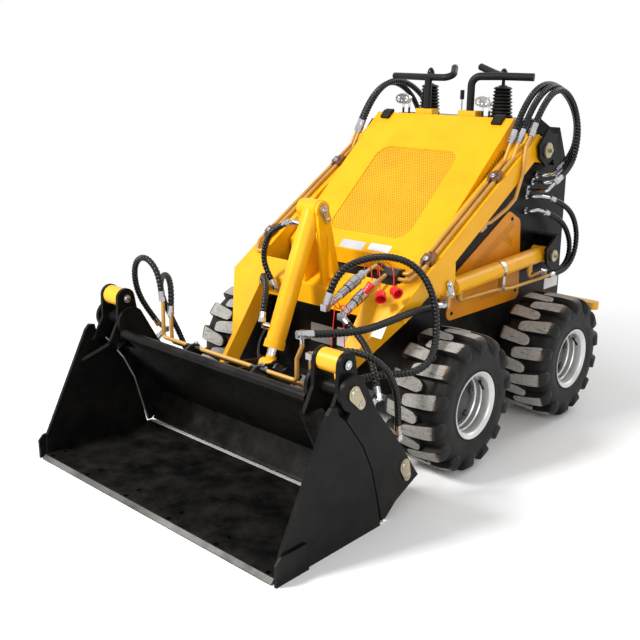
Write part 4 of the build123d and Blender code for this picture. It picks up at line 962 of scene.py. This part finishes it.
# Distance from the coupler's front end and radius: nut, grooved body, knurled sleeve, collar.
COUPLER = (
    (29.8, 0), (29.8, 13), (31, 14.4), (46, 14.4), (47, 13.4), (49, 13.4), (50, 14.4), (61, 14.4),
    (62.2, 16.3), (70, 16.4), (71, 15.2), (74, 15.2), (75, 16.4), (79.4, 16.4), (80.2, 17.4), (83, 17.6),
    (84, 16.6), (86, 16.6), (87, 17.6), (109, 17.6), (110, 16.6), (112, 16.6), (113, 17.6),
    (115.6, 17.4), (116.2, 13.4), (131, 13.4), (132, 12.4), (134, 12.4), (135, 13.4), (149.8, 13.4),
    (150.2, 0),
)
FRONT_NUT = ((14, 0), (14, 11.6), (15, 12.6), (27, 12.6), (28, 11.6), (28, 0))
REAR_NUT = ((136, 0), (136, 14.0), (137, 15.0), (147, 15.0), (148, 14.0), (148, 0))
# Dark rubber bands of a coupler: distance from its front end and width.
BANDS = ((58, 4), (71, 3), (81, 4), (110, 4), (132, 3))


def make_couplers():
    """The two quick couplers with their bands."""
    over, shells = [], []
    for x, side, front, rear in COUPLERS:
        rings = [off_line((235, *front), (235, *rear), 0.1, low, low + wide) for low, wide in BANDS]
        over.append((both(past(0, 235, side), either(*rings)), "rubber"))
        axis = np.subtract(rear, front)
        for profile, sides in ((COUPLER, 40), (FRONT_NUT, 6), (REAR_NUT, 6)):
            shells.append(lathe(profile, (x, *front), (0, *axis), sides))
    steel = finish("coupler_steel", "zinc", over, dust=0.0, low_dirt=0.0, grain=600.0)
    build("coupler_sleeves", shells, steel, "lift_arms", 30.0)


# Dust caps, distance along the axis and radius, then their places and axes.
CUP = (
    (0, 0), (0, 12.5), (2, 15.2), (3.5, 16), (24, 16.6), (25.5, 18), (28, 18.2), (28.6, 17.4), (28.6, 13.4),
    (6, 12.6), (6, 0),
)
PLUG = ((0, 0), (0, 12.5), (2, 13.6), (12, 13.6), (13, 10.6), (34, 10.2), (36, 8.6), (36, 0))
CAPS = {
    "dust_cap_first": (CUP, (322, -548, 600), (0.5, -0.62, -0.42)),
    "dust_cap_second": (CUP, (352, -524, 612), (0.72, -0.3, -0.2)),
    "dust_plug": (PLUG, (296, -560, 628), (-0.35, -0.5, -0.75)),
}
# Straps and pull cords: the piece that each carries, and its route.
STRAPS = {
    "cap_loop_first": ("dust_cap_first", (
        (255, -482, 636), (268, -500, 668), (290, -520, 678), (308, -540, 664), (316, -548, 634),
        (320, -549, 606),
    )),
    "cap_loop_second": ("dust_cap_second", (
        (255, -482, 636), (276, -492, 676), (308, -502, 690), (338, -512, 676), (350, -520, 650),
        (352, -524, 620),
    )),
    "cap_loop_third": ("dust_plug", (
        (215, -500, 640), (232, -520, 672), (262, -540, 684), (288, -556, 672), (296, -562, 650),
        (297, -561, 636),
    )),
    "pull_cord_first": (None, (
        (236, -664, 560), (238, -668, 540), (239, -673, 510), (241, -678, 480), (243, -683, 452),
        (244, -687, 430),
    )),
    "pull_cord_second": (None, (
        (262, -660, 536), (266, -657, 520), (270, -658, 492), (274, -660, 464), (278, -662, 438),
        (281, -664, 416),
    )),
}
STRAP = 1.6
KNOT = ((0, 0), (0.6, 2.0), (2.4, 3.6), (4.4, 3.9), (6.4, 3.2), (8.0, 1.6), (8.4, 0))
# Rings on the couplers: place, axis, radius.
RINGS = (((236, -655, 568), (0.2, 0.9, 0.4), 15.0), ((258, -640, 552), (0.1, 0.9, 0.42), 17.5))


def make_caps():
    """Red dust caps that hang from their loops beside the couplers, and the loops' thin straps."""
    red = finish("cap_plastic", "red", dust=0.02, low_dirt=0.0, grain=300.0)
    caps = {
        name: build(name, [lathe(profile, at, axis, 40)], red, "lift_arms", 35.0)
        for name, (profile, at, axis) in CAPS.items()
    }
    for name, (cap, route) in STRAPS.items():
        line = route_line(name + "_line", place(route))
        piece = build(name, [plain_tube(line, STRAP * MM, 10)], red, "lift_arms", 60.0)
    knots = [lathe(KNOT, at, (0, -0.1, -1), 16) for at in ((244, -687, 432), (281, -664, 418))]
    build("pull_cord_knots", knots, red, "lift_arms", 60.0)
    rings = [hoop(at, *square_to(axis), (radius, radius), (1.7, 1.7), (40, 8)) for at, axis, radius in RINGS]
    build("cap_rings", rings, red, "lift_arms", 60.0)


# Lock plates, bolts, washers and nipples

# Nipple of a tower's pin, washer and nipple of a bucket's pin: distance outwards and radius.
TOWER_NIPPLE = (
    (7.2, 0), (7.2, 7.6), (10, 7.6), (11, 5.2), (14, 5.2), (15, 3.6), (17, 4.2), (17.8, 3.0), (17.8, 0),
)
BUCKET_WASHER = ((0, 13.5), (1.6, 13.5), (2.6, 12.5), (2.6, 7.0), (1.0, 6.4), (1.0, 0))
BUCKET_NIPPLE = ((0.4, 0), (0.4, 6.2), (1.8, 6.0), (2.7, 3.4), (2.8, 0))


def lock_plate(side, at, size, lean, thick, bolts, head):
    """Oval plate across the x axis that leans along a direction (y, z), with its bolts. The outline is two
    half circles of a radius, joined by straights of a length."""
    length, radius = size
    t = np.linspace(-np.pi / 2, np.pi / 2, 9)
    right = np.stack([length / 2 + radius * np.cos(t), radius * np.sin(t)], -1)
    y, z = lean
    spot = place((side * at[0], *at[1:]))
    shells = [slab(np.vstack([right, -right]) * MM, spot, (0, side * z, -side * y), (0, y, z), thick * MM)]
    for x, y, z in bolts:
        shells += bolt((side * x, y, z), (side, 0, 0), *head)
    return shells


def bolt(at, axis, radius, height):
    """Hexagon head on a washer, in millimetres of the part's source."""
    wide = radius * 1.45
    washer = ((0, 0), (0, wide), (1.2, wide), (1.6, radius * 1.3), (1.6, 0))
    head = ((1.4, 0), (1.4, radius), (height, radius), (height + 1.2, radius * 0.84), (height + 1.2, 0))
    return [lathe(washer, at, axis, 24), lathe(head, at, axis, 6)]


def tower_pin(side, y, z, radius):
    """Stepped washer and nipple at the outer end of a tower's pin."""
    at, out = (side * 402.2, y, z), (side, 0, 0)
    edge = [(x, radius + step) for x, step in ((0, 0.4), (2.6, 0.4), (3.4, -1), (6.8, -1.4), (7.4, -3))]
    return [lathe([(0, 0), *edge, (7.4, 0)], at, out, 40), lathe(TOWER_NIPPLE, at, out, 20)]


def arm_top(y):
    """Height of the top of a lift arm's pipe at a place along it, on the arm's long slope or on its leg."""
    return 690 + (y + 320) * (0.62 if y > -320 else (690 - 562) / (-320 + 511))


def make_fasteners():
    """Lock plates, bolts, washers and nipples on the arms, the towers, the covers and the bucket."""
    rows = []
    for side, label in SIDES:
        bolts = ((387.7, -270, 589), (387.7, -252, 553))
        shells = lock_plate(side, (384.3, -261, 571), (40, 13), (0.89, 0.45), 3.4, bolts, (6.5, 4.5))
        rows.append(("pin_lock_" + label, shells, "zinc", "lift_arms"))
    for side, label in SIDES:
        shells = tower_pin(side, *ARM_PIVOT, 27.0) + tower_pin(side, *LIFT_BASE, 22.0)
        rows.append(("tower_pins_" + label, shells, "brass", "chassis"))
    for side, label in SIDES:
        shells = []
        for y, z in ((238, 735), (296, 455), (-130, 448), (-88, 560)):
            shells += bolt((side * 306.8, y, z), (side, 0, 0), 5.0, 3.2)
        rows.append(("cover_screws_" + label, shells, "black", "chassis"))
    for side, label in SIDES:
        shells, tilt = [], unit((0, -0.53, 0.85))
        for y in (17, -352):
            shells += bolt(np.array([side * 354.5, y, arm_top(y)]) + tilt * 20.0, tilt, 7.0, 6.0)
        rows.append(("clamp_bolts_" + label, shells, "zinc", "lift_arms"))
    shells, nipples, heads = [], [], []
    for side in (1, -1):
        x, out = side * 557.2, (side, 0, 0)
        for pin, low in ((JAW_PIVOT, (-914, 404)), (JAW_BASE_PIN, (-694, 116))):
            shells.append(lathe(BUCKET_WASHER, (x, *pin), out, 32))
            shells += bolt((x, *low), out, 7.0, 1.4)
            nipples.append(lathe(BUCKET_NIPPLE, (x, *pin), out, 20))
        heads += bolt((side * 536.8, *JAW_ROD_PIN), out, 9.0, 5.0)
        heads += bolt((side * 431.2, *JAW_ROD_PIN), (-side, 0, 0), 9.0, 5.0)
    rows.append(("bucket_pin_bolts", shells, "zinc", "bucket_back"))
    rows.append(("ear_pin_bolts", heads, "zinc", "bucket_jaw"))
    rows.append(("bucket_pin_nipples", nipples, "red", "bucket_back"))
    # Lock plates on the tilt cylinder's top pin, with two bolts each.
    shells = []
    for side in (1, -1):
        bolts = ((57, -509, 818), (57, -495, 789))
        shells += lock_plate(side, (54.1, -502, 803), (34, 14), (0.9, 0.43), 3.0, bolts, (5.5, 3.5))
    rows.append(("tilt_pin_locks", shells, "zinc", "lift_arms"))
    # Clamp bolts of the pipe along the blade.
    shells = []
    for x in (-150, 150):
        shells += bolt((x, -892, 412), (0, 0, 1), 6.5, 5.0) + bolt((x, -878, 397), (0, 0.6, 0.8), 6.5, 5.0)
    rows.append(("blade_pipe_bolts", shells, "zinc", "bucket_back"))
    for name, shells, kind, body in rows:
        build(name, shells, PLAIN[kind], body, 25.0)


# Blank plates where the machine carries its signs


def make_plates():
    """Thin blank plates with rounded corners."""
    across, up = (1, 0, 0), (0, 0, 1)
    hood_up = (0, slope_y, slope_z)
    leg = unit((0, 511 - 698, -(562 - 300)))

    def on_hood(x, reach):
        """Place on the hood, at a distance up its slope and 0.2 mm off it."""
        y, z = HOOD_LOW
        return x, y + slope_y * reach - slope_z * 0.2, z + slope_z * reach + slope_y * 0.2

    rows = (
        # Name, half width and half height, place, across, up, finish, body.
        ("front_sign_blank", (62, 34), (55, -370.5, 352), across, up, "white", "chassis"),
        ("front_plate_blank", (52, 34), (-80, -370.5, 345), across, up, "silver", "chassis"),
        ("hood_plate_blank", (52, 18), on_hood(-18, 22), across, hood_up, "silver", "chassis"),
        ("hood_sign_blank", (46, 15), on_hood(100, 28), across, hood_up, "white", "chassis"),
        ("panel_sign_blank", (55, 22), (303.1, 585, 436), (0, 1, 0), up, "white", "chassis"),
        ("leg_sign_blank", (22, 26), (332, -511, 562) + leg * 92, across, -leg, "white", "lift_arms"),
    )
    for name, (wide, tall), at, right, top, kind, body in rows:
        outline = rounded([(-wide, -tall), (wide, -tall), (wide, tall), (-wide, tall)], 3.0)
        build(name, [slab(outline * MM, place(at), right, top, 0.8 * MM, 0.0002)], PLAIN[kind], body, 30.0)


# Pale strips at the bucket's seams: painted light, as seen through the gap

# Seam down the side of the jaw, y and z.
SEAM = ((-968, 370), (-896, 275), (-854, 190), (-827, 92), (-804, 12))


def strip(a, b, across, wide, thick):
    """Thin rounded strip from one place to another, in millimetres: a small oval carried along a straight."""
    a, b = np.asarray(a, float), np.asarray(b, float)
    across = unit(across)
    up = np.cross(unit(b - a), across)
    turn = circle(10)[:, None]
    section = wide * np.cos(turn) * across + thick * np.sin(turn) * up
    t = np.linspace(0, 1, 9)[:, None, None]
    return tube(place(a + (b - a) * t + section[None]))


def make_bucket_edges():
    """Pale strips at the seams where the jaw meets the blade: painted light through the gap, with a little
    dust on it.
    """
    # The pale colour is painted light where the gap between jaw and blade would show the bright backdrop.
    painted_gap_light = finish("painted_seam_light", "pad", dust=0.1, low_dirt=0.1, grain=200.0, bump=0.4)
    floor = strip((-538, -797.5, 10.2), (538, -797.5, 10.2), (0, 1, 0), 6.0, 0.9)
    build("floor_seam", [floor], painted_gap_light, "bucket_jaw", 40.0)
    sides = [
        strip((side * 539.8, y0 - 6, z0), (side * 539.8, y1 - 6, z1), (0, 0, 1), 0.9, 4.0)
        for side in (1, -1)
        for (y0, z0), (y1, z1) in zip(SEAM, SEAM[1:])
    ]
    build("side_seams", sides, painted_gap_light, "bucket_jaw", 40.0)


make_hoses()
make_wheels()
make_console()
make_lamps()
make_couplers()
make_caps()
make_fasteners()
make_plates()
make_bucket_edges()


# Stage, light and camera

WHITE = (1.0, 1.0, 1.0, 1.0)


def mirror_or_camera(tree):
    """1 for rays from the camera or off a mirror, 0 for others."""
    rays = node(tree, "ShaderNodeLightPath")
    return sums(tree, "MAXIMUM", rays.outputs["Is Camera Ray"], rays.outputs["Is Glossy Ray"])


def mix_shaders(tree, share, first, second, output):
    """Mixes two shaders into the surface of an output."""
    mix = node(tree, "ShaderNodeMixShader")
    feed(tree, mix.inputs[0], share)
    feed(tree, mix.inputs[1], first.outputs[0])
    feed(tree, mix.inputs[2], second.outputs[0])
    feed(tree, tree.nodes[output].inputs["Surface"], mix.outputs[0])


def build_floor():
    """Pale floor that keeps the object's shadow. Away from the object it is plain white where the camera or a
    mirror sees it."""
    far = 30.0
    mesh = bpy.data.meshes.new("floor")
    mesh.from_pydata([(-far, -far, 0), (far, -far, 0), (far, far, 0), (-far, far, 0)], [], [(0, 1, 2, 3)])
    made = bpy.data.materials.new("floor_pale")
    made.use_nodes = True
    tree = made.node_tree
    shader = tree.nodes["Principled BSDF"]
    shader.inputs["Base Color"].default_value = (0.93, 0.93, 0.93, 1.0)
    shader.inputs["Roughness"].default_value = 1.0
    shader.inputs["Specular IOR Level"].default_value = 0.0
    white = node(tree, "ShaderNodeEmission", in_Color=WHITE, in_Strength=1.0)
    away = turns(tree, "LENGTH", node(tree, "ShaderNodeTexCoord").outputs["Object"])
    share = times(tree, mirror_or_camera(tree), ramp(tree, away, 1.2, 2.4))
    mix_shaders(tree, share, shader, white, "Material Output")
    floor = link_piece(mesh, "floor", made)


def build_world():
    """White world for camera and mirror rays, at half strength as light."""
    world = bpy.data.worlds.new("studio")
    bpy.context.scene.world = world
    world.use_nodes = True
    tree = world.node_tree
    light = tree.nodes["Background"]
    light.inputs["Color"].default_value = WHITE
    light.inputs["Strength"].default_value = 0.5
    behind = node(tree, "ShaderNodeBackground", in_Color=WHITE, in_Strength=1.0)
    mix_shaders(tree, mirror_or_camera(tree), light, behind, "World Output")


def add_lamp(name, at, target, size, watts):
    """Square lamp that faces a point."""
    data = bpy.data.lights.new(name, "AREA")
    data.size = size
    data.energy = watts
    lamp = add_object(name, data)
    lamp.location = at
    lamp.rotation_mode = "QUATERNION"
    lamp.rotation_quaternion = (Vector(target) - Vector(at)).to_track_quat("-Z", "Y")


def build_camera():
    """Camera at the photograph's angle, from the solved place, directions and focal length."""
    data = bpy.data.cameras.new("camera")
    data.sensor_width = 36.0
    data.lens = 49.417
    data.clip_start = 0.05
    data.clip_end = 100.0
    camera = add_object("camera", data)
    right = Vector((0.7392268, 0.67337611, 0.01040931))
    up = Vector((-0.19531548, 0.19957229, 0.96022016))
    ahead = Vector((-0.64451191, 0.71185358, -0.27904996))
    turn = Matrix((right, up, -ahead)).transposed()
    eye = Vector((1.93777, -2.60954 + FRAME_Y * MM, 1.27147))
    camera.matrix_world = Matrix.Translation(eye) @ turn.to_4x4()
    bpy.context.scene.camera = camera


build_floor()
build_world()
add_lamp("key", (-1.4, -3.5, 3.7), (0.0, -0.1, 0.4), 1.1, 270)
add_lamp("fill", (3.6, -2.4, 2.2), (0.0, 0.0, 0.4), 2.6, 60)
add_lamp("back", (1.0, 4.2, 3.4), (0.0, 0.0, 0.6), 2.6, 80)
build_camera()
bpy.context.scene.view_settings.view_transform = "Standard"
